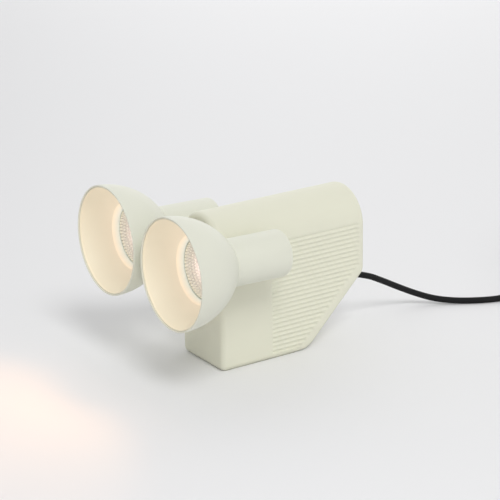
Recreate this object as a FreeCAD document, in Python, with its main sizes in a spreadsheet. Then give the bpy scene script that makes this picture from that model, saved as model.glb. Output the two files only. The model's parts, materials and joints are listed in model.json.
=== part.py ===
"""Tabletop searchlight lamp: a weighted housing with an arched top carries two bell-shaped
spotlight heads, one on each flank, and each head tilts on a hollow pivot tube.

Millimetres. +X is the lamp's right, the heads shine towards -Y, and +Z is up. The origin lies
on the table, under the middle of the lamp without its cord.
"""

import FreeCAD, Part
import math
import os

import Sketcher

Vector = FreeCAD.Vector
ALONG_X = Vector(1, 0, 0)
ALONG_Y = Vector(0, 1, 0)
ALONG_Z = Vector(0, 0, 1)
# A rounding never gets smaller than this where a form is drawn inwards.
LEAST_ROUND = 0.5

# Driving dimensions: alias in the sheet, value, what it is.
SIZES = [
    ("body_width", 62.0, "housing, across the two flanks"),
    ("body_height", 131.0, "table to the crown of the arch"),
    ("body_length", 146.5, "front face to rear face"),
    ("wall", 2.6, "housing wall"),
    ("side_round", 5.0, "rounding of the flanks' outline"),
    ("front_round", 4.5, "rounding of the front face's outline"),
    ("corner_cut", 58.8, "leg of the sloping lower rear corner"),
    ("foot_round", 20.0, "rounding where the slope meets the underside"),
    ("heel_round", 9.0, "rounding where the slope meets the rear face"),
    ("foot_gap", 0.6, "table to the housing's lower edge, the pad's thickness"),
    ("rib_crown_drop", 28.9, "crown to the highest groove"),
    ("rib_foot", 6.1, "height of the lowest groove"),
    ("rib_pitch", 4.0, "from groove to groove"),
    ("rib_front", 50.4, "front face to the start of the grooves"),
    ("rib_rear_margin", 6.0, "ends of the grooves to the rear face"),
    ("rib_slope_margin", 13.2, "ends of the grooves to the slope, along Y"),
    ("rib_depth", 0.9, "depth of a groove"),
    ("rib_cutter", 3.4, "diameter of the groove's round bottom"),
    ("head_drop", 28.3, "crown to the heads' axis"),
    ("head_gap", 0.8, "flank to the head, filled by the friction washer"),
    ("pivot_setback", 36.0, "front face to the pivot"),
    ("head_aim", 1.4, "tilt of the heads as set, front up, degrees"),
    ("rim_reach", 60.2, "front face to the bell's rim"),
    ("rim_radius", 46.6, "outside of the bell at its rim"),
    ("bell_arc", 62.5, "radius of the bell's outline"),
    ("bell_wall", 1.8, "wall of the bell"),
    ("neck_radius", 19.8, "outside of the neck"),
    ("neck_wall", 2.0, "wall of the neck"),
    ("neck_back", 9.0, "pivot to the neck's rear end"),
    ("neck_round", 3.0, "rounding of the neck's rear end"),
    ("neck_step", 1.0, "ledge in the neck that carries the holder plate"),
    ("spigot_length", 6.0, "part of the bell that enters the neck"),
    ("spigot_wall", 1.2, "wall of that part"),
    ("fit", 0.05, "radial clearance of a fit"),
    ("bowl_sheet", 0.8, "sheet of the inner bowl"),
    ("bowl_setback", 0.8, "rim to the inner bowl's front edge"),
    ("bowl_land", 1.5, "cylindrical seat of the inner bowl in the rim"),
    ("bowl_arc", 39.5, "radius of the inner bowl"),
    ("collar_length", 6.2, "steep collar of the bowl round the lamp"),
    ("collar_flare", 2.6, "widening of that collar"),
    ("collar_gap", 0.8, "lamp to collar, radially"),
    ("lamp_radius", 25.0, "reflector lamp's face"),
    ("lamp_recess", 28.2, "rim to the reflector lamp's face"),
    ("lamp_rim", 3.0, "straight rim of the reflector"),
    ("lamp_cup", 24.5, "depth of the reflector"),
    ("lamp_cup_arc", 30.0, "radius of the reflector's outline"),
    ("lamp_glass", 1.2, "wall of the reflector"),
    ("lens_thick", 1.4, "front glass"),
    ("lens_setback", 0.5, "reflector's edge to the front glass"),
    ("cap_radius", 12.5, "lamp's ceramic cap"),
    ("cap_length", 22.0, "length of that cap"),
    ("cap_bevel", 1.5, "bevel of the cap's rear edge"),
    ("capsule_radius", 4.6, "halogen capsule"),
    ("capsule_length", 17.0, "length of the capsule that stands in the cup"),
    ("pin_spacing", 10.0, "between the lamp's pins"),
    ("pin_radius", 2.5, "head of a lamp pin"),
    ("pin_length", 7.0, "length of a lamp pin"),
    ("holder_radius", 14.5, "lampholder"),
    ("holder_length", 12.4, "length of the lampholder"),
    ("holder_gap", 0.1, "lamp's cap to the lampholder"),
    ("plate_thick", 1.2, "holder plate"),
    ("tube_radius", 4.0, "pivot tube"),
    ("tube_bore", 2.8, "radius of the bore of the pivot tube"),
    ("pivot_pad", 7.5, "radius of the flat boss in the neck"),
    ("pivot_pad_depth", 4.5, "flank side of the neck to the boss's inner face"),
    ("neck_nut_thick", 2.5, "nut inside the neck"),
    ("tube_end", 0.6, "pivot tube past its nuts"),
    ("pad_proud", 0.15, "flat bosses past the neck and past the flank"),
    ("shell_pad", 10.0, "radius of the flat boss in the housing"),
    ("shell_pad_depth", 5.2, "flank to that boss's inner face"),
    ("washer_radius", 7.5, "friction washers"),
    ("washer_hole", 4.3, "radius of the hole of every washer"),
    ("spring_thick", 1.0, "spring washer, pressed flat"),
    ("pivot_nut_thick", 5.0, "nut inside the housing"),
    ("nut_flats", 11.0, "across the flats of the pivot nuts"),
    ("head_wire", 3.4, "diameter of the lead to a head"),
    ("plate_length", 74.0, "base plate, front to rear"),
    ("base_plate_thick", 2.5, "base plate"),
    ("plate_gap", 0.3, "housing to base plate"),
    ("pad_inset", 2.4, "housing's outline to the foot pad's edge"),
    ("boss_radius", 4.0, "screw bosses in the housing"),
    ("boss_inset", 7.0, "housing's outline to the middle of a boss"),
    ("screw_shank", 3.0, "diameter of the small screws"),
    ("screw_head", 5.6, "diameter of their heads"),
    ("screw_head_thick", 1.5, "their heads"),
    ("screw_bite", 8.0, "thread past the plate"),
    ("blind_end", 4.0, "screw boss past the thread's end"),
    ("long_bite", 4.0, "ballast screws longer than the plate screws by this"),
    ("small_shank", 2.2, "diameter of the lampholder's screws"),
    ("small_shank_head", 3.96, "diameter of their heads"),
    ("ballast_front", 14.0, "front face to the ballast"),
    ("ballast_length", 62.0, "ballast, front to rear"),
    ("ballast_width", 38.0, "ballast, across"),
    ("ballast_height", 44.0, "ballast"),
    ("ballast_round", 3.0, "rounding of the ballast's upright edges"),
    ("terminal_length", 18.0, "terminal block, front to rear"),
    ("terminal_width", 26.0, "terminal block, across"),
    ("terminal_height", 8.0, "terminal block without its turrets"),
    ("terminal_turret", 3.2, "radius of a turret"),
    ("terminal_rise", 4.0, "height of a turret"),
    ("clamp_length", 8.0, "cord clamp, front to rear"),
    ("clamp_width", 26.0, "cord clamp, across"),
    ("clamp_height", 7.5, "cord clamp"),
    ("cord_diameter", 5.5, "mains cord"),
    ("gland_setback", 8.55, "rear face to the gland on the slope"),
    ("gland_tilt", 15.0, "gland below the horizontal, degrees"),
    ("gland_length", 22.5, "strain relief outside the slope"),
    ("gland_radius", 5.2, "strain relief at the slope"),
    ("gland_tip", 3.9, "radius of the strain relief at its tip"),
    ("gland_flange", 7.2, "radius of the flange inside"),
    ("gland_flange_thick", 2.4, "flange inside"),
    ("gland_seat", 8.5, "slope to the flange, along the gland"),
    ("switch_length", 62.0, "cord switch"),
    ("switch_width", 26.0, "cord switch"),
    ("switch_low", 8.0, "lower half of the cord switch"),
    ("switch_high", 9.0, "upper half of the cord switch"),
    ("switch_round", 6.0, "rounding of the cord switch's outline"),
    ("rocker_length", 20.0, "rocker of the switch, along the cord"),
    ("rocker_width", 11.0, "rocker of the switch, across"),
    ("rocker_gap", 0.8, "clearance round the rocker"),
    ("rocker_tilt", 7.0, "rocker each way from level, degrees"),
    ("rocker_pin", 1.5, "radius of the rocker's pin"),
    ("coil_radius", 30.0, "middle of the coiled cord's turns"),
    ("coil_width", 17.0, "bundle of turns, across"),
    ("coil_height", 15.5, "bundle of turns, high"),
    ("plug_length", 36.0, "body of the plug"),
    ("plug_width", 35.0, "body of the plug, across"),
    ("plug_thick", 13.6, "body of the plug, high"),
    ("plug_round", 2.5, "rounding of the plug's upright edges beside the pins"),
    ("plug_pin_radius", 2.0, "pins of the plug"),
    ("plug_pin_length", 19.0, "pins of the plug"),
    ("plug_pin_spacing", 18.6, "between the plug's pins"),
]

# The mains cord's route from the slope, through the strain relief, to the cord switch.
LEAD_ROUTE = [
    (0, 95.4, 50.2),
    (0, 130, 40.9),
    (-1, 147, 31.6),
    (-2.5, 166, 20.6),
    (-1, 184, 11.2),
    (7.5, 200, 4.9),
    (19.5, 217.5, 2.75),
    (31, 236.5, 2.75),
    (38, 256, 2.75),
    (40, 273, 8),
    (40, 288, 8),
]
# From the cord switch to the coil's outermost turn, which it meets at the top.
TAIL_ROUTE = [
    (40, 350, 8),
    (40, 364, 8),
    (37, 378, 4.6),
    (29, 391, 2.9),
    (15.5, 400, 2.75),
    (0, 403.5, 2.75),
    (-14, 403.7, 2.75),
]
# From the coil's top layer to the plug.
END_ROUTE = [
    (-14, 400.8, 12.9),
    (-27, 403, 13.3),
    (-38.5, 405.5, 9.8),
    (-49, 406.5, 6.8),
    (-59, 406.5, 6.8),
]

doc = FreeCAD.newDocument("searchlight_lamp")
sheet = doc.addObject("Spreadsheet::Sheet", "sizes")


class Size:
    """A value that remembers the formula of sheet cells it comes from."""

    def __init__(self, value, formula=None):
        self.value = float(value)
        self.formula = formula or repr(float(value))

    @staticmethod
    def of(other):
        return other if isinstance(other, Size) else Size(other)

    def __add__(self, other):
        other = Size.of(other)
        return Size(self.value + other.value, f"({self.formula} + {other.formula})")

    def __sub__(self, other):
        other = Size.of(other)
        return Size(self.value - other.value, f"({self.formula} - ({other.formula}))")

    def __mul__(self, other):
        other = Size.of(other)
        return Size(self.value * other.value, f"({self.formula} * {other.formula})")

    def __truediv__(self, other):
        other = Size.of(other)
        return Size(self.value / other.value, f"({self.formula} / {other.formula})")

    def __neg__(self):
        return Size(-self.value, f"(0 - {self.formula})")

    __radd__ = __add__
    __rmul__ = __mul__

    def __rsub__(self, other):
        return Size.of(other) - self


def root(size):
    return Size(math.sqrt(size.value), f"sqrt({size.formula})")


def sine(size):
    return Size(math.sin(math.radians(size.value)), f"sin({size.formula} * 1deg)")


def cosine(size):
    return Size(math.cos(math.radians(size.value)), f"cos({size.formula} * 1deg)")


def smaller(one, other):
    return Size(min(one.value, other.value), f"min({one.formula}; {other.formula})")


def larger(one, other):
    other = Size.of(other)
    return Size(max(one.value, other.value), f"max({one.formula}; {other.formula})")


class Sizes:
    """The sheet's cells as attributes, each a Size."""


size = Sizes()
for row, (alias, value, meaning) in enumerate(SIZES, 1):
    sheet.set(f"A{row}", meaning)
    sheet.set(f"B{row}", str(value))
    sheet.setAlias(f"B{row}", alias)
    setattr(size, alias, Size(value, f"sizes.{alias}"))
doc.recompute()

# Sizes that follow from the driving ones, in the housing's frame: y from the front face.
half_width = size.body_width / 2
arch_height = size.body_height - half_width
head_height = size.body_height - size.head_drop
head_offset = half_width + size.head_gap + size.neck_radius
slope_foot = size.body_length - size.corner_cut
gland_y = size.body_length - size.gland_setback
gland_height = gland_y - slope_foot
plate_top = size.foot_gap + size.base_plate_thick
ballast_top = plate_top + size.ballast_height
cord_radius = size.cord_diameter / 2

# In a head's frame: the origin on the pivot, y along the bell's axis, towards the rear.
rim_y = -(size.pivot_setback + size.rim_reach)
arc_centre = size.rim_radius - size.bell_arc
crease_run = size.neck_radius - arc_centre
crease_y = rim_y + root(size.bell_arc * size.bell_arc - crease_run * crease_run)
face_y = rim_y + size.lamp_recess
cap_end_y = face_y + size.lamp_cup + size.cap_length
holder_y = cap_end_y + size.holder_gap
plate_y = holder_y + size.holder_length
neck_bore = size.neck_radius - size.neck_wall
boss_face_x = size.neck_radius - size.pivot_pad_depth
# Pivot stack inside the housing, from the head's axis.
washer_thick = size.head_gap - 2 * size.pad_proud
stack_x = size.neck_radius + size.head_gap + size.shell_pad_depth
spring_x = stack_x + washer_thick
nut_x = spring_x + size.spring_thick
tube_end_x = nut_x + size.pivot_nut_thick + size.tube_end

# The housing's front face stands behind the origin by this much, so that the rims in front
# and the rear face behind are equally far from it.
lip_radius = size.bell_wall / 2
lip_run = 0 - rim_y - lip_radius
rim_front = (
    lip_run * cosine(size.head_aim)
    + (size.rim_radius - lip_radius) * sine(size.head_aim)
    + lip_radius
    - size.pivot_setback
)
front_y = -((size.body_length - rim_front) / 2)

nodes = []


def bind(thing, name, value):
    """Set one property and tie it to its formula."""
    value = Size.of(value)
    if "." not in name:
        setattr(thing, name, value.value)
    thing.setExpression(name, value.formula)


def put(thing, x=0, y=0, z=0, axis=None, angle=0):
    """Place a primitive; its turn about axis comes before its shift."""
    turn = FreeCAD.Rotation(axis or ALONG_Z, Size.of(angle).value)
    spot = Vector(*(Size.of(value).value for value in (x, y, z)))
    thing.Placement = FreeCAD.Placement(spot, turn)
    for letter, value in zip("xyz", (x, y, z)):
        if isinstance(value, Size):
            thing.setExpression(f"Placement.Base.{letter}", value.formula)
    if isinstance(angle, Size):
        thing.setExpression("Placement.Rotation.Angle", angle.formula)
    return thing


def box(length, width, height, x=0, y=0, z=0):
    """A block centred on x, from y to the rear and from z upwards."""
    block = doc.addObject("Part::Box", "block")
    bind(block, "Length", length)
    bind(block, "Width", width)
    bind(block, "Height", height)
    return put(block, Size.of(x) - Size.of(length) / 2, y, z)


def rod(radius, length, x=0, y=0, z=0, axis=None, angle=0):
    """A cylinder from its foot along +Z, or along the turned direction."""
    cylinder = doc.addObject("Part::Cylinder", "rod")
    bind(cylinder, "Radius", radius)
    bind(cylinder, "Height", length)
    return put(cylinder, x, y, z, axis, angle)


def rod_x(radius, length, x=0, y=0, z=0):
    """A cylinder along +X from x."""
    return rod(radius, length, x, y, z, ALONG_Y, 90)


def rod_y(radius, length, x=0, y=0, z=0):
    """A cylinder along +Y from y."""
    return rod(radius, length, x, y, z, ALONG_X, -90)


def hexagon_x(flats, length, x):
    """A hexagonal nut blank along +X."""
    prism = doc.addObject("Part::Prism", "hexagon")
    prism.Polygon = 6
    bind(prism, "Circumradius", flats / math.sqrt(3))
    bind(prism, "Height", length)
    return put(prism, x, 0, 0, ALONG_Y, 90)


def cut(base, *tools):
    """Take the tools away one by one; a tool is drawn 1 mm or more past the face it opens."""
    for tool in tools:
        result = doc.addObject("Part::Cut", "cut")
        result.Base = base
        result.Tool = tool
        base = result
    return base


def fuse(*things):
    result = doc.addObject("Part::MultiFuse", "joined")
    result.Shapes = list(things)
    return result


def common(one, other):
    result = doc.addObject("Part::Common", "shared")
    result.Base = one
    result.Tool = other
    return result


def group(things):
    result = doc.addObject("Part::Compound", "group")
    result.Links = list(things)
    return result


def edges_where(thing, test):
    """Numbers of the edges whose every sampled point passes the test."""
    doc.recompute()
    found = []
    for number, edge in enumerate(thing.Shape.Edges, 1):
        span = edge.ParameterRange
        points = [edge.valueAt(span[0] + (span[1] - span[0]) * k / 4) for k in range(5)]
        if all(test(point) for point in points):
            found.append(number)
    return found


def near(one, other, slack=0.01):
    return abs(one - Size.of(other).value) < slack


def outline(body, role, corners):
    """A closed sketch. A corner is (u, v), or (u, v, radius, side): then the way to the next
    corner is an arc of that radius, which turns left for side 1 and right for side -1."""
    sketch = body.newObject("Sketcher::SketchObject", "profile")
    plane = next(part for part in body.Origin.OriginFeatures if part.Role == role)
    sketch.AttachmentSupport = [(plane, "")]
    sketch.MapMode = "FlatFace"
    spots = [Vector(Size.of(c[0]).value, Size.of(c[1]).value, 0) for c in corners]
    starts = []
    for number, corner in enumerate(corners):
        first, last = spots[number], spots[(number + 1) % len(spots)]
        if len(corner) == 2:
            sketch.addGeometry(Part.LineSegment(first, last), False)
            starts.append((1, 2))
            continue
        radius, side = Size.of(corner[2]).value, corner[3]
        chord = last - first
        rise = math.sqrt(max(radius**2 - chord.Length**2 / 4, 0))
        normal = Vector(-chord.y, chord.x, 0).normalize()
        centre = (first + last) * 0.5 + normal * (rise * side)
        ends = (first, last) if side > 0 else (last, first)
        angles = [math.atan2(end.y - centre.y, end.x - centre.x) for end in ends]
        circle = Part.Circle(centre, ALONG_Z, radius)
        sketch.addGeometry(Part.ArcOfCircle(circle, *angles), False)
        starts.append((1, 2) if side > 0 else (2, 1))
    for number in range(len(corners)):
        follower = (number + 1) % len(corners)
        ends = (number, starts[number][1], follower, starts[follower][0])
        sketch.addConstraint(Sketcher.Constraint("Coincident", *ends))
    for number, corner in enumerate(corners):
        start = starts[number][0]
        for kind, value, axis in (("DistanceX", corner[0], -2), ("DistanceY", corner[1], -1)):
            value = Size.of(value)
            if value.value == 0:
                rule = Sketcher.Constraint("PointOnObject", number, start, axis)
                sketch.addConstraint(rule)
                continue
            rule = Sketcher.Constraint(kind, -1, 1, number, start, value.value)
            index = sketch.addConstraint(rule)
            sketch.setExpression(f"Constraints[{index}]", value.formula)
        if len(corner) > 2:
            radius = Size.of(corner[2])
            rule = Sketcher.Constraint("Radius", number, radius.value)
            chord = spots[(number + 1) % len(spots)] - spots[number]
            if near(chord.Length, radius * 2):
                # A half circle is held by the level of its centre.
                radius = Size.of(corner[1])
                rule = Sketcher.Constraint("DistanceY", -1, 1, number, 3, radius.value)
            index = sketch.addConstraint(rule)
            sketch.setExpression(f"Constraints[{index}]", radius.formula)
    return sketch


def turned(name, corners):
    """A body turned round its Y axis: each corner is (radius, y)."""
    body = doc.addObject("PartDesign::Body", name)
    sketch = outline(body, "XY_Plane", corners)
    feature = body.newObject("PartDesign::Revolution", "turn")
    feature.Profile = sketch
    feature.ReferenceAxis = (sketch, ["V_Axis"])
    feature.Angle = 360
    return body


def padded(name, role, corners, length, middle=False, back=False):
    """A body with one sketch padded to a length."""
    body = doc.addObject("PartDesign::Body", name)
    sketch = outline(body, role, corners)
    feature = body.newObject("PartDesign::Pad", "pad")
    feature.Profile = sketch
    feature.SideType = "Symmetric" if middle else "One side"
    feature.Reversed = back
    bind(feature, "Length", length)
    return body


def rounded_plan(body, radius, test):
    """Round the edges of a body that pass the test."""
    tip = body.Tip
    numbers = edges_where(tip, test)
    feature = body.newObject("PartDesign::Fillet", "round")
    feature.Base = (tip, [f"Edge{number}" for number in numbers])
    bind(feature, "Radius", radius)
    return body


def node(thing, name, y=None):
    """Name a finished sub-part. Its own placement puts it into the lamp."""
    thing.Label = name
    if y is not None:
        put(thing, 0, y, 0)
    nodes.append(thing)
    return thing


def arch_outline(inset, floor):
    """Front view of the housing: straight flanks under a half-round crown."""
    half = half_width - inset
    return [
        (-half, floor),
        (half, floor),
        (half, arch_height, half, 1),
        (-half, arch_height),
    ]


def envelope(name, inset, floor):
    """The housing's outer form, drawn inwards by inset: the arch padded to the rear, the lower
    rear corner cut off along the slope, then both outlines rounded."""
    half = half_width - inset
    rear = size.body_length - inset
    body = padded(name, "XZ_Plane", arch_outline(inset, floor), rear - inset, back=True)
    put(body, 0, inset, 0)
    # The slope is 45 degrees, so drawing it inwards moves it along Y by the inset's diagonal.
    foot = slope_foot - inset * math.sqrt(2) - inset
    heel = rear - inset - foot
    tan_eighth = math.tan(math.radians(22.5))
    foot_round = larger(size.foot_round - inset, LEAST_ROUND)
    heel_round = larger(size.heel_round - inset, LEAST_ROUND)
    foot_run = foot_round * tan_eighth
    heel_run = heel_round * tan_eighth
    root_half = math.sqrt(0.5)
    past = 20
    sketch = outline(
        body,
        "YZ_Plane",
        [
            (foot + floor - foot_run, floor, foot_round, 1),
            (foot + floor + foot_run * root_half, floor + foot_run * root_half),
            (rear - inset - heel_run * root_half, heel - heel_run * root_half, heel_round, 1),
            (rear - inset, heel + heel_run),
            (rear - inset + past, heel + heel_run),
            (rear - inset + past, floor - past),
            (foot + floor - foot_run, floor - past),
        ],
    )
    feature = body.newObject("PartDesign::Pocket", "slope")
    feature.Profile = sketch
    feature.Type = "ThroughAll"
    feature.SideType = "Symmetric"
    side = larger(size.side_round - inset, LEAST_ROUND)
    front = larger(size.front_round - inset, LEAST_ROUND)
    slack = 0.01

    def on_flank_outline(point):
        beside = near(abs(point.x), half) and point.y > slack
        return beside and point.z < arch_height.value + slack

    lines = []
    for number in edges_where(feature, on_flank_outline):
        edge = feature.Shape.Edges[number - 1]
        seam = all(near(vertex.Z, arch_height) for vertex in edge.Vertexes)
        if not seam:
            lines.append(number)
    rounding = body.newObject("PartDesign::Fillet", "flank_round")
    rounding.Base = (feature, [f"Edge{number}" for number in lines])
    bind(rounding, "Radius", side)
    rounded_plan(body, front, lambda point: near(point.y, 0))
    return body


# ------------------------------------------------------------------ housing

outer = envelope("housing_form", Size(0), Size(0))
below = box(size.body_width, size.body_length, size.foot_gap)
inner = envelope("housing_hollow", size.wall, size.wall)
opening_length = size.plate_length + 2 * size.plate_gap
opening_width = size.body_width - 2 * size.wall
opening = box(opening_width, opening_length, plate_top + size.plate_gap, 0, size.wall, 0)
shell = cut(outer, below, inner, opening)

rib_top = size.body_height - size.rib_crown_drop
rib_count = int((rib_top - size.rib_foot).value / size.rib_pitch.value + 0.001) + 1
rib_sink = size.rib_cutter / 2 - size.rib_depth
cutters = []
for step in range(rib_count):
    rib_z = rib_top - size.rib_pitch * step
    rib_end = smaller(
        size.body_length - size.rib_rear_margin,
        slope_foot + rib_z - size.rib_slope_margin,
    )
    for flank in (-1, 1):
        rib_x = (half_width + rib_sink) * flank
        cutters.append(
            rod_y(size.rib_cutter / 2, rib_end - size.rib_front, rib_x, size.rib_front, rib_z)
        )
shell = cut(shell, group(cutters))


def boss_spots():
    """Middles of the four screw bosses, beside the base plate's corners."""
    across = half_width - size.boss_inset
    front = size.boss_inset + size.wall
    rear = size.plate_length + size.wall - size.boss_inset
    return [(side * across, y) for side in (-1, 1) for y in (front, rear)]


boss_height = size.screw_bite + size.blind_end
bosses = []
for x, y in boss_spots():
    bosses.append(rod(size.boss_radius, boss_height, x, y, plate_top))
    web = size.boss_inset - size.wall + 1
    web_x = half_width - size.wall + 1 - web / 2
    bosses.append(
        box(web, size.boss_radius, boss_height, web_x * (1 if x.value > 0 else -1),
            y - size.boss_radius / 2, plate_top)
    )
pads = []
for flank in (-1, 1):
    depth = size.shell_pad_depth + size.pad_proud
    start = half_width - size.shell_pad_depth if flank > 0 else -half_width - size.pad_proud
    pads.append(rod_x(size.shell_pad, depth, start, size.pivot_setback, head_height))
gland_angle = Size(-90) - size.gland_tilt


def along_gland(distance):
    """A point on the gland's axis, a distance outside the slope."""
    return (
        gland_y + cosine(size.gland_tilt) * distance,
        gland_height - sine(size.gland_tilt) * distance,
    )


under_skin = Size(0.4)
seat_y, seat_z = along_gland(-size.gland_seat)
gland_boss = common(
    rod(size.gland_flange, size.gland_seat * 2, 0, seat_y, seat_z, ALONG_X, gland_angle),
    envelope("gland_limit", under_skin, under_skin),
)
shell = fuse(shell, *bosses, *pads, gland_boss)
holes = [
    rod(size.screw_shank / 2 + size.fit, boss_height - 1, x, y, plate_top)
    for x, y in boss_spots()
]
for flank in (-1, 1):
    start = half_width - size.wall * 3 if flank > 0 else -half_width - 2
    holes.append(
        rod_x(size.tube_radius + size.fit, size.wall * 3 + 2, start, size.pivot_setback,
              head_height)
    )
gland_hole_y, gland_hole_z = along_gland(-size.gland_seat - 4)
holes.append(
    rod(size.gland_radius + size.fit, size.gland_seat * 3, 0, gland_hole_y, gland_hole_z,
        ALONG_X, gland_angle)
)
shell = cut(shell, group(holes))
node(shell, "base_shell", front_y)

# ------------------------------------------------------------------ foot, plate and ballast

plate_width = opening_width - 2 * size.plate_gap
plate_front = size.wall + size.plate_gap
plate = box(plate_width, size.plate_length, size.base_plate_thick, 0, plate_front, size.foot_gap)
ballast_mid_y = size.ballast_front + size.ballast_length / 2
ballast_screw_gap = size.ballast_length / 2
ballast_spots = [
    (Size(0), ballast_mid_y - ballast_screw_gap / 2),
    (Size(0), ballast_mid_y + ballast_screw_gap / 2),
]
holes = []
below_plate = size.foot_gap - 1
for x, y in boss_spots() + ballast_spots:
    holes.append(
        rod(size.screw_shank / 2 + size.fit, size.base_plate_thick + 2, x, y, below_plate)
    )
    holes.append(rod(size.screw_head / 2 + size.fit, size.screw_head_thick + 1, x, y, below_plate))
node(cut(plate, group(holes)), "base_plate", front_y)


def screw(x, y, z, bite):
    """A round-headed screw pointing up from z."""
    head = rod(size.screw_head / 2, size.screw_head_thick, x, y, z)
    shank = rod(size.screw_shank / 2, size.screw_head_thick + bite, x, y, z)
    return fuse(head, shank)


bite = size.base_plate_thick - size.screw_head_thick + size.screw_bite
node(group([screw(x, y, size.foot_gap, bite) for x, y in boss_spots()]), "plate_screws", front_y)
long_screws = [screw(x, y, size.foot_gap, bite + size.long_bite) for x, y in ballast_spots]
node(group(long_screws), "ballast_screws", front_y)

pad_half = half_width - size.pad_inset
pad_rear = plate_front + size.plate_length
foot_pad = padded(
    "foot_pad",
    "XY_Plane",
    [(-pad_half, size.pad_inset), (pad_half, size.pad_inset), (pad_half, pad_rear),
     (-pad_half, pad_rear)],
    size.foot_gap,
)
rounded_plan(foot_pad, size.side_round - 1, lambda point: near(abs(point.x), pad_half)
             and (near(point.y, size.pad_inset) or near(point.y, pad_rear)))
node(foot_pad, "foot_pad", front_y)

ballast_half = size.ballast_width / 2
ballast_rear = size.ballast_front + size.ballast_length
ballast = padded(
    "ballast_body",
    "XY_Plane",
    [(-ballast_half, size.ballast_front), (ballast_half, size.ballast_front),
     (ballast_half, ballast_rear), (-ballast_half, ballast_rear)],
    size.ballast_height,
)
rounded_plan(ballast, size.ballast_round, lambda point: near(abs(point.x), ballast_half)
             and (near(point.y, size.ballast_front) or near(point.y, ballast_rear)))
put(ballast, 0, 0, plate_top)
holes = [
    rod(size.screw_shank / 2 + size.fit, size.screw_bite + size.long_bite + 2, x, y, plate_top)
    for x, y in ballast_spots
]

# Terminal block and cord clamp stand on the ballast and are screwed into it.
clamp_y = ballast_rear - size.clamp_length - 2
terminal_y = clamp_y - size.terminal_length - 6
terminal_mid_y = terminal_y + size.terminal_length / 2
top_screw_bite = 6
clamp_screw_x = size.clamp_width / 2 - size.screw_head / 2 - 0.6
clamp_mid_y = clamp_y + size.clamp_length / 2
clamp_spots = [(-clamp_screw_x, clamp_mid_y), (clamp_screw_x, clamp_mid_y)]
terminal_spots = [(Size(0), terminal_mid_y)]
for x, y in clamp_spots + terminal_spots:
    holes.append(
        rod(size.screw_shank / 2 + size.fit, top_screw_bite + 2, x, y, ballast_top - top_screw_bite)
    )
node(cut(ballast, group(holes)), "ballast_block", front_y)


def screw_down(x, y, seat, thick):
    """A round-headed screw through a piece of that thickness, into the ballast."""
    head = rod(size.screw_head / 2, size.screw_head_thick, x, y, seat + thick)
    shank = rod(size.screw_shank / 2, thick + top_screw_bite - 0.5, x, y,
                seat - top_screw_bite + 0.5)
    return fuse(head, shank)


terminal = box(size.terminal_width, size.terminal_length, size.terminal_height, 0, terminal_y,
               ballast_top)
turret_x = size.terminal_width / 2 - size.terminal_turret - 0.4
turret_y = size.terminal_length / 2 - size.terminal_turret - 0.4
turret_spots = [
    (turret_x * side, terminal_mid_y + turret_y * end) for side in (-1, 1) for end in (-1, 1)
]
turret_z = ballast_top + size.terminal_height
well_radius = size.terminal_turret - 1
well_depth = 2
turrets = [
    rod(size.terminal_turret, size.terminal_rise, x, y, turret_z) for x, y in turret_spots
]
wells = [
    rod(well_radius, size.terminal_rise + well_depth, x, y, turret_z - well_depth)
    for x, y in turret_spots
]
wells.append(
    rod(size.screw_shank / 2 + size.fit, size.terminal_height + 2, 0, terminal_mid_y,
        ballast_top - 1)
)
node(cut(fuse(terminal, *turrets), group(wells)), "terminal_block", front_y)
node(
    group([
        rod(well_radius - size.fit, size.terminal_rise, x, y, turret_z - well_depth + size.fit)
        for x, y in turret_spots
    ]),
    "terminal_screws",
    front_y,
)
node(
    group([screw_down(x, y, ballast_top, size.terminal_height) for x, y in terminal_spots]),
    "terminal_fixing",
    front_y,
)
clamp_saddle = box(size.clamp_width, size.clamp_length, size.clamp_height, 0, clamp_y, ballast_top)
cord_rest = ballast_top + cord_radius + 0.4
clamp_tunnel = rod_y(cord_radius + size.fit, size.clamp_length + 2, 0, clamp_y - 1, cord_rest)
clamp_slot = box(size.cord_diameter + 2 * size.fit, size.clamp_length + 2, cord_radius + 1.4, 0,
                 clamp_y - 1, ballast_top - 1)
clamp_holes = [
    rod(size.screw_shank / 2 + size.fit, size.clamp_height + 2, x, y, ballast_top - 1)
    for x, y in clamp_spots
]
node(cut(clamp_saddle, clamp_tunnel, clamp_slot, group(clamp_holes)), "cord_clamp", front_y)
node(
    group([screw_down(x, y, ballast_top, size.clamp_height) for x, y in clamp_spots]),
    "clamp_screws",
    front_y,
)

# ------------------------------------------------------------------ strain relief

relief = turned(
    "cord_strain_relief",
    [
        (cord_radius + size.fit, -size.gland_seat - size.gland_flange_thick),
        (size.gland_flange, -size.gland_seat - size.gland_flange_thick),
        (size.gland_flange, -size.gland_seat),
        (size.gland_radius, -size.gland_seat),
        (size.gland_radius, 6),
        (size.gland_tip, size.gland_length),
        (cord_radius + size.fit, size.gland_length),
    ],
)
node(relief, "cord_strain_relief")
put(relief, 0, front_y + gland_y, gland_height, ALONG_X, -size.gland_tilt)

# ------------------------------------------------------------------ heads


def head_frame(thing, name, side):
    """Put a piece of a head on its pivot, tilted as the heads are set."""
    node(thing, name)
    put(thing, head_offset * side, front_y + size.pivot_setback, head_height, ALONG_X,
        -size.head_aim)


def stub_x(radius, near_x, far_x, side, y=0, z=0):
    """A cylinder along X between two distances from the head's axis, towards the housing."""
    start = -far_x if side > 0 else Size.of(near_x)
    return rod_x(radius, Size.of(far_x) - near_x, start, y, z)


def nut(side, near_x, thick):
    """A hexagonal nut on the pivot tube, bored to slide on it."""
    start = -(near_x + thick) if side > 0 else Size.of(near_x)
    blank = hexagon_x(size.nut_flats, thick, start)
    return cut(blank, stub_x(size.tube_radius + size.fit, near_x - 1, near_x + thick + 1, side))


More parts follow.
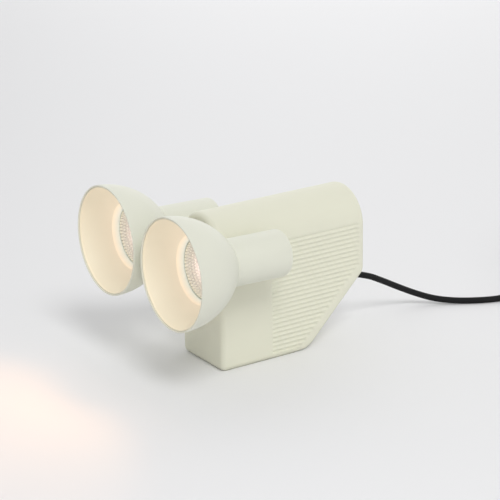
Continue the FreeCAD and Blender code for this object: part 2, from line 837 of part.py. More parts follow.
def ring_x(radius, near_x, thick, side):
    """A washer on the pivot tube."""
    disc = stub_x(radius, near_x, near_x + thick, side)
    return cut(disc, stub_x(size.washer_hole, near_x - 1, near_x + thick + 1, side))


def bell():
    inner_arc = size.bell_arc - size.bell_wall
    inner_y = crease_y - size.bell_wall
    inner_run = inner_y - rim_y
    inner_r = arc_centre + root(inner_arc * inner_arc - inner_run * inner_run)
    lip_y = rim_y + lip_radius
    lip_out = arc_centre + root(size.bell_arc * size.bell_arc - lip_radius * lip_radius)
    lip_in = arc_centre + root(inner_arc * inner_arc - lip_radius * lip_radius)
    spigot = neck_bore - size.fit
    return turned(
        "bell",
        [
            (lip_out, lip_y, size.bell_arc, 1),
            (size.neck_radius, crease_y),
            (spigot, crease_y),
            (spigot, crease_y + size.spigot_length),
            (spigot - size.spigot_wall, crease_y + size.spigot_length),
            (spigot - size.spigot_wall, inner_y),
            (inner_r, inner_y, inner_arc, -1),
            (lip_in, lip_y, (lip_out - lip_in) / 2, 1),
        ],
    )


def bowl():
    """Inner bowl: a seat in the rim, the bowl's arc, then a steep collar round the lamp."""
    seat = size.rim_radius - size.bell_wall - size.fit * 2
    front = rim_y + size.bowl_setback
    end = face_y + size.collar_gap
    collar = end - size.collar_length
    inner_end = size.lamp_radius + size.collar_gap
    sheet_gap = size.bowl_sheet
    return turned(
        "inner_bowl",
        [
            (seat - sheet_gap, front),
            (seat, front),
            (seat, front + size.bowl_land, size.bowl_arc + sheet_gap, 1),
            (inner_end + size.collar_flare + sheet_gap, collar + sheet_gap * 0.7),
            (inner_end + sheet_gap, end),
            (inner_end, end),
            (inner_end + size.collar_flare, collar, size.bowl_arc, -1),
            (seat - sheet_gap, front + size.bowl_land),
        ],
    )


def neck(side):
    end = size.neck_back
    tube = turned(
        "neck_tube",
        [
            (neck_bore, crease_y),
            (size.neck_radius, crease_y),
            (size.neck_radius, end - size.neck_round, size.neck_round, 1),
            (size.neck_radius - size.neck_round, end),
            (0, end),
            (0, end - size.neck_wall),
            (neck_bore - size.neck_step, end - size.neck_wall),
            (neck_bore - size.neck_step, plate_y + size.plate_thick),
            (neck_bore, plate_y + size.plate_thick),
        ],
    )
    boss = stub_x(size.pivot_pad, boss_face_x, size.neck_radius + size.pad_proud, side)
    bore = stub_x(size.tube_radius + size.fit, boss_face_x - 2, size.neck_radius + 1, side)
    return cut(fuse(tube, boss), bore)


def lamp_cup():
    """Reflector: a glass cup with a straight rim and a rounded outline."""
    shoulder = face_y + size.lamp_rim
    end = face_y + size.lamp_cup
    end_radius = size.cap_radius - 0.4
    thin = size.lamp_glass
    mouth = size.lamp_radius - thin
    throat = size.capsule_radius + 1
    return turned(
        "lamp_cup",
        [
            (size.lamp_radius, face_y),
            (size.lamp_radius, shoulder, size.lamp_cup_arc, 1),
            (end_radius, end),
            (throat, end),
            (throat, end - thin),
            (end_radius - thin, end - thin, size.lamp_cup_arc - thin, -1),
            (mouth, shoulder),
            (mouth, face_y),
        ],
    )


def lamp_lens():
    front = face_y + size.lens_setback
    rim = size.lamp_radius - size.lamp_glass - size.fit
    return turned(
        "lamp_lens",
        [(0, front), (rim, front), (rim, front + size.lens_thick), (0, front + size.lens_thick)],
    )


def lamp_capsule():
    """Halogen capsule: a closed glass tube with a round nose."""
    foot = face_y + size.lamp_cup
    nose = foot - size.capsule_length
    return turned(
        "lamp_capsule",
        [
            (0, nose),
            (size.capsule_radius * 0.5, nose),
            (size.capsule_radius, nose + size.capsule_radius * 0.6),
            (size.capsule_radius, foot),
            (0, foot),
        ],
    )


def lamp_cap():
    start = face_y + size.lamp_cup
    return turned(
        "lamp_cap",
        [
            (0, start),
            (size.cap_radius, start),
            (size.cap_radius, cap_end_y - size.cap_bevel),
            (size.cap_radius - size.cap_bevel, cap_end_y),
            (0, cap_end_y),
        ],
    )


def lamp_pins():
    """Two headed pins behind the cap."""
    pins = []
    head_length = size.pin_length * 0.45
    head_y = cap_end_y + size.pin_length - head_length
    for end in (-1, 1):
        z = size.pin_spacing / 2 * end
        stem = rod_y(size.pin_radius * 0.6, size.pin_length, 0, cap_end_y, z)
        pins.append(fuse(stem, rod_y(size.pin_radius, head_length, 0, head_y, z)))
    return group(pins)


# Thread of the lampholder's screws in the lampholder.
holder_bite = 4


def lampholder():
    block = rod_y(size.holder_radius, size.holder_length, 0, holder_y, 0)
    wells = []
    loose = 0.3
    for end in (-1, 1):
        z = size.pin_spacing / 2 * end
        wells.append(rod_y(size.pin_radius + loose, size.pin_length + 0.5, 0, holder_y - 0.1, z))
    for x in holder_screw_spots():
        wells.append(
            rod_y(size.small_shank / 2 + size.fit, holder_bite + 2, x, plate_y - holder_bite - 1, 0)
        )
    return cut(block, group(wells))


def holder_screw_spots():
    """X of the lampholder's screws, both level with the axis."""
    reach = size.holder_radius - 3.5
    return [reach * side for side in (-1, 1)]


def holder_plate():
    disc = rod_y(neck_bore - size.fit, size.plate_thick, 0, plate_y, 0)
    through = size.plate_thick + 2
    holes = [rod_y(size.head_wire / 2 + 0.3, through, 0, plate_y - 1, 0)]
    for x in holder_screw_spots():
        holes.append(rod_y(size.small_shank / 2 + size.fit, through, x, plate_y - 1, 0))
    return cut(disc, group(holes))


def holder_screws():
    screws = []
    head_thick = 1.2
    for x in holder_screw_spots():
        stem = rod_y(size.small_shank / 2, size.plate_thick + holder_bite, x,
                     plate_y - holder_bite, 0)
        head = rod_y(size.small_shank_head / 2, head_thick, x, plate_y + size.plate_thick, 0)
        screws.append(fuse(stem, head))
    return group(screws)


def pivot_tube(side):
    near_x = boss_face_x - size.neck_nut_thick - size.tube_end
    body = stub_x(size.tube_radius, near_x, tube_end_x, side)
    return cut(body, stub_x(size.tube_bore, near_x - 1, tube_end_x + 1, side))


def pipe(points, diameter, bend):
    """A round lead along straight runs joined by tangent arcs: (solid, length)."""
    spots = [Vector(*point) for point in points]
    edges = []
    start = spots[0]
    length = 0
    for number in range(1, len(spots) - 1):
        before = spots[number] - spots[number - 1]
        after = spots[number + 1] - spots[number]
        turn = before.getAngle(after)
        radius = bend or 0.45 * min(before.Length, after.Length) / math.tan(turn / 2)
        trim = radius * math.tan(turn / 2)
        first = spots[number] - before.normalize() * trim
        last = spots[number] + after.normalize() * trim
        inward = (after - before).normalize()
        middle = spots[number] + inward * (math.hypot(radius, trim) - radius)
        edges.append(Part.LineSegment(start, first).toShape())
        edges.append(Part.Arc(first, middle, last).toShape())
        length += (first - start).Length + radius * turn
        start = last
        if not bend:
            print(f"  cord bend {number}: radius {radius:.1f} mm")
    edges.append(Part.LineSegment(start, spots[-1]).toShape())
    length += (spots[-1] - start).Length
    path = Part.Wire(edges)
    ring = Part.Circle(spots[0], (spots[1] - spots[0]).normalize(), diameter / 2)
    solid = path.makePipeShell([Part.Wire(ring.toShape())], True, False)
    area = math.pi * diameter**2 / 4
    if abs(solid.Volume / (area * length) - 1) > 0.01:
        raise RuntimeError("a lead's volume doesn't match its section and length")
    return solid, length


def lead(name, points, diameter, bend=None):
    """A cord or wire as a feature of its own: (feature, length)."""
    feature = doc.addObject("Part::Feature", name)
    numbers = [tuple(Size.of(value).value for value in point) for point in points]
    feature.Shape, length = pipe(numbers, Size.of(diameter).value, bend)
    return feature, length


# Each head's lead stands out of its pivot tube by this much.
lead_proud = 1.5


def head_lead(side):
    """Lead from the lampholder through the pivot tube into the housing."""
    bend = 3
    wire, _ = lead(
        "head_lead",
        [(-(tube_end_x + lead_proud) * side, 0, 0), (Size(0), 0, 0), (Size(0), plate_y, 0)],
        size.head_wire,
        bend,
    )
    return wire


for word, side in (("right", 1), ("left", -1)):
    head_frame(bell(), f"{word}_bell", side)
    head_frame(bowl(), f"{word}_inner_bowl", side)
    head_frame(neck(side), f"{word}_neck", side)
    head_frame(lamp_cup(), f"{word}_lamp_reflector", side)
    head_frame(lamp_lens(), f"{word}_lamp_lens", side)
    head_frame(lamp_capsule(), f"{word}_lamp_capsule", side)
    head_frame(lamp_cap(), f"{word}_lamp_cap", side)
    head_frame(lamp_pins(), f"{word}_lamp_pins", side)
    head_frame(lampholder(), f"{word}_lampholder", side)
    head_frame(holder_plate(), f"{word}_holder_plate", side)
    head_frame(holder_screws(), f"{word}_holder_screws", side)
    head_frame(pivot_tube(side), f"{word}_pivot_tube", side)
    nuts = [
        nut(side, boss_face_x - size.neck_nut_thick, size.neck_nut_thick),
        nut(side, nut_x, size.pivot_nut_thick),
    ]
    head_frame(group(nuts), f"{word}_pivot_nuts", side)
    head_frame(ring_x(size.washer_radius - 0.5, spring_x, size.spring_thick, side),
               f"{word}_spring_washer", side)
    head_frame(head_lead(side), f"{word}_head_lead", side)
    washers = [
        ring_x(size.washer_radius, size.neck_radius + size.pad_proud, washer_thick, side),
        ring_x(size.washer_radius, stack_x, washer_thick, side),
    ]
    friction = node(group(washers), f"{word}_friction_washers")
    put(friction, head_offset * side, front_y + size.pivot_setback, head_height)

# ------------------------------------------------------------------ leads in the housing

terminal_axis = ballast_top + size.terminal_height / 2
supply_bend = 14
branch_bend = 4
turn_y, turn_z = along_gland(-size.gland_seat - supply_bend)
gland_start_y, gland_start_z = along_gland(0)
supply, _ = lead(
    "supply_lead",
    [
        (0, gland_start_y, gland_start_z),
        (0, turn_y, turn_z),
        (0, ballast_rear + supply_bend, cord_rest + 1.5),
        (0, ballast_rear + 2, cord_rest),
        (0, terminal_y + size.terminal_length, cord_rest),
    ],
    size.cord_diameter,
    supply_bend,
)
node(supply, "supply_lead", front_y)
lead_gap = 0.3
branch_end = head_offset - tube_end_x - lead_proud - lead_gap
for word, side in (("right", 1), ("left", -1)):
    rise_x = size.terminal_width / 2 - 4
    branch, _ = lead(
        "branch_lead",
        [
            (rise_x * side, terminal_y, terminal_axis),
            (rise_x * side, terminal_y - 9, terminal_axis),
            (rise_x * side * 0.5, size.pivot_setback - 6, head_height - 18),
            (Size(3 * side), size.pivot_setback, head_height),
            (branch_end * side, size.pivot_setback, head_height),
        ],
        size.head_wire,
        branch_bend,
    )
    node(branch, f"{word}_branch_lead", front_y)

# ------------------------------------------------------------------ cord, switch and plug

cord, cord_length = lead("mains_cord", LEAD_ROUTE, size.cord_diameter)
node(cord, "mains_cord")
tail, tail_length = lead("cord_tail", TAIL_ROUTE, size.cord_diameter)
node(tail, "cord_tail")
end, end_length = lead("cord_end", END_ROUTE, size.cord_diameter)
node(end, "cord_end")
coil_x = TAIL_ROUTE[-1][0]
coil_corner = size.cord_diameter / 2
coil_in = size.coil_radius - size.coil_width / 2
coil_out = size.coil_radius + size.coil_width / 2
coil_y = TAIL_ROUTE[-1][1] - (coil_out - coil_corner)
coil = turned(
    "cord_coil",
    [
        (coil_in + coil_corner, 0),
        (coil_out - coil_corner, 0, coil_corner, 1),
        (coil_out, coil_corner),
        (coil_out, size.coil_height - coil_corner, coil_corner, 1),
        (coil_out - coil_corner, size.coil_height),
        (coil_in + coil_corner, size.coil_height, coil_corner, 1),
        (coil_in, size.coil_height - coil_corner),
        (coil_in, coil_corner, coil_corner, 1),
    ],
)
node(coil, "cord_coil")
put(coil, coil_x, coil_y, 0, ALONG_X, 90)

switch_x, switch_y, _ = LEAD_ROUTE[-1]


def switch_half(name, low, high):
    """Half of the cord switch, its outline rounded in plan."""
    half = size.switch_width / 2
    body = padded(
        name,
        "XY_Plane",
        [(-half, 0), (half, 0), (half, size.switch_length), (-half, size.switch_length)],
        high - low,
    )
    rounded_plan(body, size.switch_round, lambda point: near(abs(point.x), half)
                 and (near(point.y, 0) or near(point.y, size.switch_length)))
    put(body, 0, 0, low)
    return body


switch_mid = size.switch_length / 2
switch_top = size.switch_low + size.switch_high
switch_screw_spots = [
    (size.switch_width * 0.29 * side, switch_mid + size.switch_length * 0.39 * end)
    for side, end in ((-1, -1), (1, 1))
]
screw_wells = [
    rod(size.screw_head / 2 + size.fit, 3, x, y, -1) for x, y in switch_screw_spots
]
screw_bores = [
    rod(size.screw_shank / 2 + size.fit, size.switch_low + 6, x, y, -1)
    for x, y in switch_screw_spots
]
pocket_length = size.rocker_length + 2 * size.rocker_gap
pocket_width = size.rocker_width + 2 * size.rocker_gap
pocket_depth = size.switch_high - 2.5
pocket = box(pocket_width, pocket_length, pocket_depth + 1, 0, switch_mid - pocket_length / 2,
             switch_top - pocket_depth)
pin_z = switch_top - 2.8
pin_length = pocket_width + 4
pin_bore = rod_x(size.rocker_pin + size.fit, pin_length, -pin_length / 2, switch_mid, pin_z)
lower_form = switch_half("switch_lower_form", Size(0), size.switch_low)
lower = cut(lower_form, group(screw_wells + screw_bores))
node(lower, "switch_lower")
put(lower, switch_x, switch_y, 0)
upper_bores = [
    rod(size.screw_shank / 2 + size.fit, 5, x, y, size.switch_low) for x, y in switch_screw_spots
]
upper_form = switch_half("switch_upper_form", size.switch_low, switch_top)
upper = cut(upper_form, pocket, pin_bore, group(upper_bores))
node(upper, "switch_upper")
put(upper, switch_x, switch_y, 0)
switch_screws = node(
    group([screw(x, y, 0.5, size.switch_low + 2) for x, y in switch_screw_spots]), "switch_screws"
)
put(switch_screws, switch_x, switch_y, 0)

# Rocker: a shallow V on top and a round belly, on a pin across the cord.
rocker_half = size.rocker_length / 2
rocker_rise = switch_top - pin_z
rocker_proud = 1.6
rocker_crown = rocker_rise + rocker_proud
rocker_dip = rocker_rise + 0.6
rocker_shape = padded(
    "rocker_form",
    "YZ_Plane",
    [
        (-rocker_half, rocker_crown),
        (-rocker_half, rocker_rise - rocker_proud, rocker_half * 1.9, 1),
        (rocker_half, rocker_rise - rocker_proud),
        (rocker_half, rocker_crown),
        (0, rocker_dip),
    ],
    size.rocker_width,
    middle=True,
)
rocker_pin_length = pin_length - 2 * size.rocker_gap
rocker = fuse(rocker_shape, rod_x(size.rocker_pin, rocker_pin_length, -rocker_pin_length / 2))
node(rocker, "switch_rocker")
put(rocker, switch_x, switch_y + switch_mid, pin_z, ALONG_X, -size.rocker_tilt)

plug_x, plug_y, plug_z = END_ROUTE[-1]
plug_half = size.plug_width / 2
plug_waist = size.plug_width * 0.26
plug_nose = size.cord_diameter * 0.85
waist_x = -size.plug_length * 0.45
shoulder_x = -size.plug_length * 0.62
plug = padded(
    "plug_body",
    "XY_Plane",
    [
        (0, -plug_nose),
        (0, plug_nose),
        (waist_x, plug_waist),
        (shoulder_x, plug_half),
        (-size.plug_length, plug_half),
        (-size.plug_length, -plug_half),
        (shoulder_x, -plug_half),
        (waist_x, -plug_waist),
    ],
    size.plug_thick,
)
rounded_plan(plug, size.plug_round, lambda point: near(abs(point.y), plug_half)
             and near(point.x, -size.plug_length))
node(plug, "plug_body")
put(plug, plug_x, plug_y, plug_z - size.plug_thick / 2)
pin_tip = -size.plug_length - size.plug_pin_length
pins = [
    rod_x(size.plug_pin_radius, size.plug_pin_length, pin_tip, size.plug_pin_spacing / 2 * end, 0)
    for end in (-1, 1)
]
plug_pins = node(group(pins), "plug_pins")
put(plug_pins, plug_x, plug_y, plug_z)

# ------------------------------------------------------------------ check and write

doc.recompute()
for thing in doc.Objects:
    if {"Invalid", "Error"} & set(thing.State):
        raise RuntimeError(f"{thing.Label} failed: {thing.State}")
for thing in nodes:
    if thing.Shape.isNull() or not thing.Shape.isValid():
        raise RuntimeError(f"{thing.Label} has no valid shape")
os.makedirs("parts", exist_ok=True)
for thing in nodes:
    thing.Shape.exportStep(f"parts/{thing.Label}.step")
    bounds = thing.Shape.BoundBox
    print(
        f"{thing.Label:24s} {len(thing.Shape.Solids)} solid(s), volume {thing.Shape.Volume:9.1f},"
        f" x {bounds.XMin:7.2f} {bounds.XMax:7.2f}, y {bounds.YMin:7.2f} {bounds.YMax:7.2f},"
        f" z {bounds.ZMin:7.2f} {bounds.ZMax:7.2f}"
    )
print(f"{len(nodes)} nodes, cord {cord_length:.0f} + {tail_length:.0f} + {end_length:.0f} mm")
print(f"pivot at x {head_offset.value:.3f}, y {(front_y + size.pivot_setback).value:.3f},"
      f" z {head_height.value:.3f}; rocker at y {switch_y + switch_mid.value:.3f}, z {pin_z.value:.3f}")
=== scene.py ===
"""Tabletop searchlight lamp: the visible pieces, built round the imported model.

Metres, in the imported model's own frame: +X is the lamp's right flank, the heads shine towards
-Y, +Z is up and the table is at zero. A head's pieces are worked out in its own frame, with the
origin on the pivot and Y along the bell's axis, and are then put on their pivot.
"""

import json
import math
from functools import partial

import bmesh
import bpy
import numpy as np
from bpy.props import FloatProperty, FloatVectorProperty, IntProperty, PointerProperty
from mathutils import Matrix, Vector


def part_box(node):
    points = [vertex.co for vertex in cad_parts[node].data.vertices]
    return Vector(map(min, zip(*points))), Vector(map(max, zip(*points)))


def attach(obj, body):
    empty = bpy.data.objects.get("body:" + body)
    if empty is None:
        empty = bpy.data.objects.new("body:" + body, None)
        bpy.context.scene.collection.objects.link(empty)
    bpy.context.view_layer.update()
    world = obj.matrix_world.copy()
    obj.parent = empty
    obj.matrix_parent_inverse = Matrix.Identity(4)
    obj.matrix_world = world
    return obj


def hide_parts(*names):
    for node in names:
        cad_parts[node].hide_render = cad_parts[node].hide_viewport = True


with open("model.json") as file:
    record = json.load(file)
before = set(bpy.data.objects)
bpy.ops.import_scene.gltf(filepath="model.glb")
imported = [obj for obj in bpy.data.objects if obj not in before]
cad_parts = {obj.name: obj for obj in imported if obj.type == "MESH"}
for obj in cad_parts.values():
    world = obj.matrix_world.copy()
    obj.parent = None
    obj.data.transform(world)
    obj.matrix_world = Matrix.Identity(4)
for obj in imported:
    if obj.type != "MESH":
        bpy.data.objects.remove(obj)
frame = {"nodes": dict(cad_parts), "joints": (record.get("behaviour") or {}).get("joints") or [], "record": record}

bl_info = {
    "name": "Searchlight lamp",
    "version": (1, 0, 0),
    "blender": (4, 5, 0),
    "location": "View3D > Sidebar > Lamp",
    "description": "Builds a tabletop searchlight lamp with two tilting heads",
    "category": "Add Mesh",
}

MM = 0.001
SIDES = (("right", 1), ("left", -1))

# The free cord's route, in millimetres: from the slope to the switch, from the switch to the
# coil, and from the coil to the plug.
LEAD_ROUTE = [
    (0, 95.4, 50.2), (0, 127, 41.7), (-1, 147, 31.2), (-2.5, 166, 20.6),
    (-1, 184, 11.2), (7.5, 200, 4.9), (19.5, 217.5, 2.75), (31, 236.5, 2.75),
    (38, 256, 2.75), (40, 273, 8), (40, 288, 8),
]
TAIL_ROUTE = [
    (40, 350, 8), (40, 364, 8), (37, 378, 4.6), (29, 391, 2.9),
    (15.5, 400, 2.75), (0, 403.5, 2.75),
]
END_ROUTE = [
    (-27, 403, 13.8), (-38.5, 405.5, 9.8), (-49, 406.5, 6.8), (-59, 406.5, 6.8),
]
# Each turn of the coil: radius and height of the cord's middle, in millimetres.
COIL_TURNS = [
    (35.7, 2.75), (30.0, 2.75), (24.3, 2.75), (24.3, 8.05),
    (30.0, 8.05), (35.7, 8.05), (27.2, 13.0), (32.8, 12.9),
]
# The coil's middle, and where the cord leaves it for the plug, in millimetres.
COIL_MIDDLE = (-14.0, 368.0)
COIL_EXIT = (-14.0, 400.8, 13.2)
# Where round the coil its tie sits, and how far the rocker is tipped, in degrees.
TIE_ANGLE = 200
ROCKER_REST = 7
# Round corners of the switch's plan.
SWITCH_CORNER = 6 * MM


def mm(*values):
    """Lengths given in millimetres."""
    return [value * MM for value in values]


def length(name, millimetres, description):
    return FloatProperty(
        name=name, default=millimetres * MM, unit="LENGTH", precision=5, description=description
    )


def colour(name, value, description):
    return FloatVectorProperty(
        name=name, default=value, size=3, subtype="COLOR", min=0, max=1, description=description
    )


def turned_by(name, degrees, description):
    return FloatProperty(
        name=name, default=math.radians(degrees), subtype="ANGLE", description=description
    )


def amount(name, value, description):
    return FloatProperty(name=name, default=value, description=description)


class LampHousing(bpy.types.PropertyGroup):
    width: length("Width", 62.0, "Across the two flanks")
    height: length("Height", 131.0, "Table to the crown of the arch")
    depth: length("Length", 146.5, "Front face to rear face")
    foot_gap: length("Foot gap", 0.6, "Table to the lower edge")
    side_round: length("Side rounding", 5.0, "Rounding of the flanks' outline")
    front_round: length("Front rounding", 4.5, "Rounding of the front face's outline")
    corner_cut: length("Corner cut", 58.8, "Leg of the sloping lower rear corner")
    foot_round: length("Foot rounding", 20.0, "Rounding from the underside into the slope")
    heel_round: length("Heel rounding", 9.0, "Rounding from the slope into the rear face")
    rib_top: length("Highest groove", 102.1, "Table to the middle of the highest groove")
    rib_foot: length("Lowest groove", 6.1, "Table to the middle of the lowest groove")
    rib_pitch: length("Groove pitch", 4.0, "From groove to groove")
    rib_front: length("Groove start", 50.4, "Front face to the start of the grooves")
    rib_rear: length("Rear margin", 6.0, "Ends of the grooves to the rear face")
    rib_slope: length("Slope margin", 13.2, "Ends of the grooves to the slope, along Y")
    rib_depth: length("Groove depth", 0.9, "Depth of a groove")
    rib_radius: length("Groove radius", 1.7, "Radius of a groove's round bottom")
    rib_fade: length("Groove run-out", 4.0, "Length over which a groove's rear end gets shallow")


class LampHead(bpy.types.PropertyGroup):
    pivot_setback: length("Pivot setback", 36.0, "Front face of the housing to the pivot")
    aim: turned_by("Aim", 1.4, "Tilt, front up")
    rim_reach: length("Rim reach", 60.2, "Front face of the housing to the bell's rim")
    rim_radius: length("Rim radius", 46.6, "Outside of the bell at its rim")
    bell_arc: length("Bell arc", 62.5, "Radius of the bell's outline")
    bell_wall: length("Bell wall", 1.8, "Thickness of the bell")
    lip_wall: length("Lip", 1.2, "Thickness of the bell at its lip")
    neck_radius: length("Neck radius", 19.8, "Outside of the neck")
    neck_wall: length("Neck wall", 2.0, "Thickness of the neck")
    neck_back: length("Neck back", 9.0, "Pivot to the neck's rear end")
    neck_round: length("Neck rounding", 3.0, "Rounding of the neck's rear end")
    boss_radius: length("Boss radius", 7.5, "Flat boss where the neck meets the washer")
    boss_depth: length("Boss depth", 4.5, "Depth of that boss inside the neck")
    boss_proud: length("Boss height", 0.15, "Height of that boss outside the neck")
    bowl_arc: length("Bowl arc", 39.5, "Radius of the inner bowl")
    bowl_sheet: length("Bowl sheet", 0.8, "Thickness of the inner bowl")
    collar_length: length("Collar", 6.2, "Steep collar of the bowl round the lamp")
    collar_flare: length("Collar flare", 2.6, "Widening of that collar")
    lamp_radius: length("Lamp radius", 25.0, "Reflector lamp's face")
    lamp_recess: length("Lamp recess", 28.2, "Rim to the reflector lamp's face")
    lamp_cup: length("Lamp cup", 24.5, "Depth of the reflector")
    lamp_cup_arc: length("Lamp cup arc", 30.0, "Radius of the reflector's outline")
    facet_rings: IntProperty(name="Facet rings", default=10, description="Rows of facets")
    facets: IntProperty(name="Facets", default=54, description="Facets in a row")


class LampCord(bpy.types.PropertyGroup):
    diameter: length("Cord diameter", 5.5, "Outside of the cord's cover")
    gland_length: length("Strain relief", 22.5, "Length of the strain relief")
    gland_radius: length("Root radius", 5.2, "Strain relief at the housing")
    gland_tip: length("Tip radius", 3.9, "Strain relief at its tip")
    switch_length: length("Switch length", 62.0, "Cord switch along the cord")
    switch_width: length("Switch width", 26.0, "Cord switch across")
    switch_low: length("Lower half", 8.0, "Height of the switch's lower half")
    switch_top: length("Switch height", 17.0, "Table to the switch's top")
    rocker_length: length("Rocker length", 20.0, "Rocker along the cord")
    rocker_width: length("Rocker width", 11.0, "Rocker across")
    rocker_gap: length("Rocker gap", 0.8, "Clearance round the rocker")
    plug_length: length("Plug length", 36.0, "Body of the plug")
    plug_width: length("Plug width", 35.0, "Body of the plug across")
    plug_thick: length("Plug thickness", 13.6, "Body of the plug, high")
    pin_radius: length("Pin radius", 2.0, "Pins of the plug")
    pin_length: length("Pin length", 19.0, "Pins of the plug")
    pin_spacing: length("Pin spacing", 18.6, "Between the plug's pins")


class LampFinish(bpy.types.PropertyGroup):
    housing: colour("Housing", (0.760, 0.755, 0.620), "Moulded housing")
    heads: colour("Heads", (0.742, 0.747, 0.644), "Painted bells and necks")
    bowls: colour("Bowls", (0.772, 0.747, 0.601), "Painted inner bowls")
    # Painted light: the collar is the bowls' paint made paler and bluer, so that under the warm glow it shows the
    # brighter light nearest the lamp.
    painted_collar_light: colour("Painted collar light", (0.57, 0.69, 0.67), "The bowls' inner edge, round the lamp")
    cord: colour("Cord", (0.009, 0.009, 0.0095), "Woven cover of the cord")
    glow: colour("Glow", (1.0, 0.714, 0.637), "Light of the lamps in their bowls")
    beam: colour("Beam", (1.0, 0.48, 0.17), "Light of the lamps on the table")


class LampStage(bpy.types.PropertyGroup):
    azimuth: turned_by("Azimuth", 56.54, "Camera, round Z")
    elevation: turned_by("Elevation", 19.29, "Camera, above")
    roll: turned_by("Roll", -0.85, "Camera, about its view")
    place: FloatVectorProperty(
        name="Place", default=(1.3434, -0.8812, 0.6526), unit="LENGTH", description="Camera"
    )
    lens: amount("Lens", 146.51, "Focal length, millimetres")
    key: amount("Key", 1.02, "Strength of the main light")
    fill: amount("Fill", 0.79, "Strength of the side light")
    top: amount("Top", 0.353, "Strength of the light from above")
    world: amount("World", 0.20, "Surroundings on every side")
    left: amount("Left", 0.883, "Added surroundings on the left")
    rear: amount("Rear", 0.611, "Added surroundings behind")
    spill: amount("Spill", 0.026, "Lamp's light in the bowl, watts")
    beam: amount("Beam", 0.64, "Lamp's beam, watts")


# ---- shapes


def spokes(angle):
    """Points of the unit circle: (cos a, sin a)."""
    return np.stack([np.cos(angle), np.sin(angle)], -1)


def quarter(count):
    """Angles from 0 to 90 degrees."""
    return np.linspace(0, math.pi / 2, count)


def once_round(count):
    """Angles once round a circle, without the last, which is the first."""
    return np.linspace(0, 2 * math.pi, count, endpoint=False)


def eased(share):
    """A share from 0 to 1 that starts and ends softly: 3 s s - 2 s s s."""
    return share * share * (3 - 2 * share)


def arc(start, end, radius, side, count):
    """Points of a circle's arc from start up to, and without, end. It turns left for side 1 and
    right for side -1: the centre lies on that side, off the middle of the chord."""
    start, end = np.array(start, float), np.array(end, float)
    chord = end - start
    span = np.hypot(*chord)
    rise = math.sqrt(max(radius**2 - span**2 / 4, 0))
    centre = (start + end) / 2 + np.array([-chord[1], chord[0]]) / span * rise * side
    first = math.atan2(*(start - centre)[::-1])
    turn = (math.atan2(*(end - centre)[::-1]) - first) % (2 * math.pi)
    if side < 0:
        turn -= 2 * math.pi
    angle = first + turn * np.arange(count) / count
    return centre + radius * spokes(angle)


def traced(*parts):
    """One outline from single corners and runs of points."""
    return np.concatenate([np.atleast_2d(np.array(part, float)) for part in parts])


def softened(outline, radius, steps=3, sharp=20):
    """A closed outline whose corners sharper than an angle are cut back by a small arc: each
    corner gives way to points of the parabola that starts and ends on its two sides."""
    before = np.roll(outline, 1, 0) - outline
    after = np.roll(outline, -1, 0) - outline
    long_before = np.hypot(*before.T)
    long_after = np.hypot(*after.T)
    cosine = (before * after).sum(1) / (long_before * long_after)
    turn = 180 - np.degrees(np.arccos(np.clip(cosine, -1, 1)))
    reach = np.minimum(radius, 0.4 * np.minimum(long_before, long_after))
    first = outline + before * (reach / long_before)[:, None]
    last = outline + after * (reach / long_after)[:, None]
    share = np.linspace(0, 1, steps + 1)[:, None]
    runs = []
    for number, corner in enumerate(outline):
        if turn[number] < sharp:
            runs.append(corner[None])
            continue
        bow = first[number] * (1 - share) ** 2 + last[number] * share**2
        runs.append(bow + corner * 2 * share * (1 - share))
    return np.concatenate(runs)


def grid_mesh(points, wrap_rows=False, wrap_columns=True, along=None):
    """A mesh from a grid of points (rows, columns, 3): a face between each four neighbours, and
    from the last row or column back to the first. With a value for each row it gets a UV map:
    U runs once along the row and V is the value."""
    rows, columns = points.shape[:2]
    index = np.arange(rows * columns).reshape(rows, columns)
    if wrap_rows:
        index = np.concatenate([index, index[:1]])
    if wrap_columns:
        index = np.concatenate([index, index[:, :1]], 1)

    def corners(grid):
        return np.stack([grid[:-1, :-1], grid[1:, :-1], grid[1:, 1:], grid[:-1, 1:]], 2)

    quads = corners(index).reshape(-1)
    mesh = bpy.data.meshes.new("skin")
    mesh.vertices.add(rows * columns)
    mesh.vertices.foreach_set("co", points.reshape(-1).astype(np.float32))
    mesh.loops.add(quads.size)
    mesh.loops.foreach_set("vertex_index", quads.astype(np.int32))
    mesh.polygons.add(quads.size // 4)
    mesh.polygons.foreach_set("loop_start", np.arange(0, quads.size, 4, dtype=np.int32))
    mesh.update(calc_edges=True)
    if along is not None:
        once = np.linspace(0, 1, index.shape[1])[None]
        spread = np.stack(np.broadcast_arrays(once, np.asarray(along)[:, None]), -1)
        layer = mesh.uv_layers.new(name="along")
        layer.data.foreach_set("uv", corners(spread).reshape(-1).astype(np.float32))
    return mesh


def seal(mesh):
    """Merge the doubled points of seams and poles, drop flat faces and point faces outwards."""
    work = bmesh.new()
    work.from_mesh(mesh)
    bmesh.ops.remove_doubles(work, verts=work.verts, dist=2e-6)
    bmesh.ops.dissolve_degenerate(work, edges=work.edges, dist=1e-6)
    bmesh.ops.recalc_face_normals(work, faces=work.faces)
    work.to_mesh(mesh)
    work.free()


def placed(name, data):
    """A new object in the scene."""
    thing = bpy.data.objects.new(name, data)
    bpy.context.scene.collection.objects.link(thing)
    return thing


def piece(name, meshes, slot, replaces=(), body="base", sharp=32, material=None):
    """One finished object from one or more meshes: sealed, smooth but for its sharp edges,
    riding on its body, standing for its nodes, and finished as its slot says."""
    work = bmesh.new()
    for mesh in meshes:
        seal(mesh)
        work.from_mesh(mesh)
        bpy.data.meshes.remove(mesh)
    mesh = bpy.data.meshes.new(name)
    work.to_mesh(mesh)
    work.free()
    mesh.polygons.foreach_set("use_smooth", np.ones(len(mesh.polygons), bool))
    mesh.set_sharp_from_angle(angle=math.radians(sharp))
    mesh.materials.append(finish(material or FINISHES[slot]))
    thing = placed(name, mesh)
    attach(thing, body)
    if replaces:
        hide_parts(*replaces)


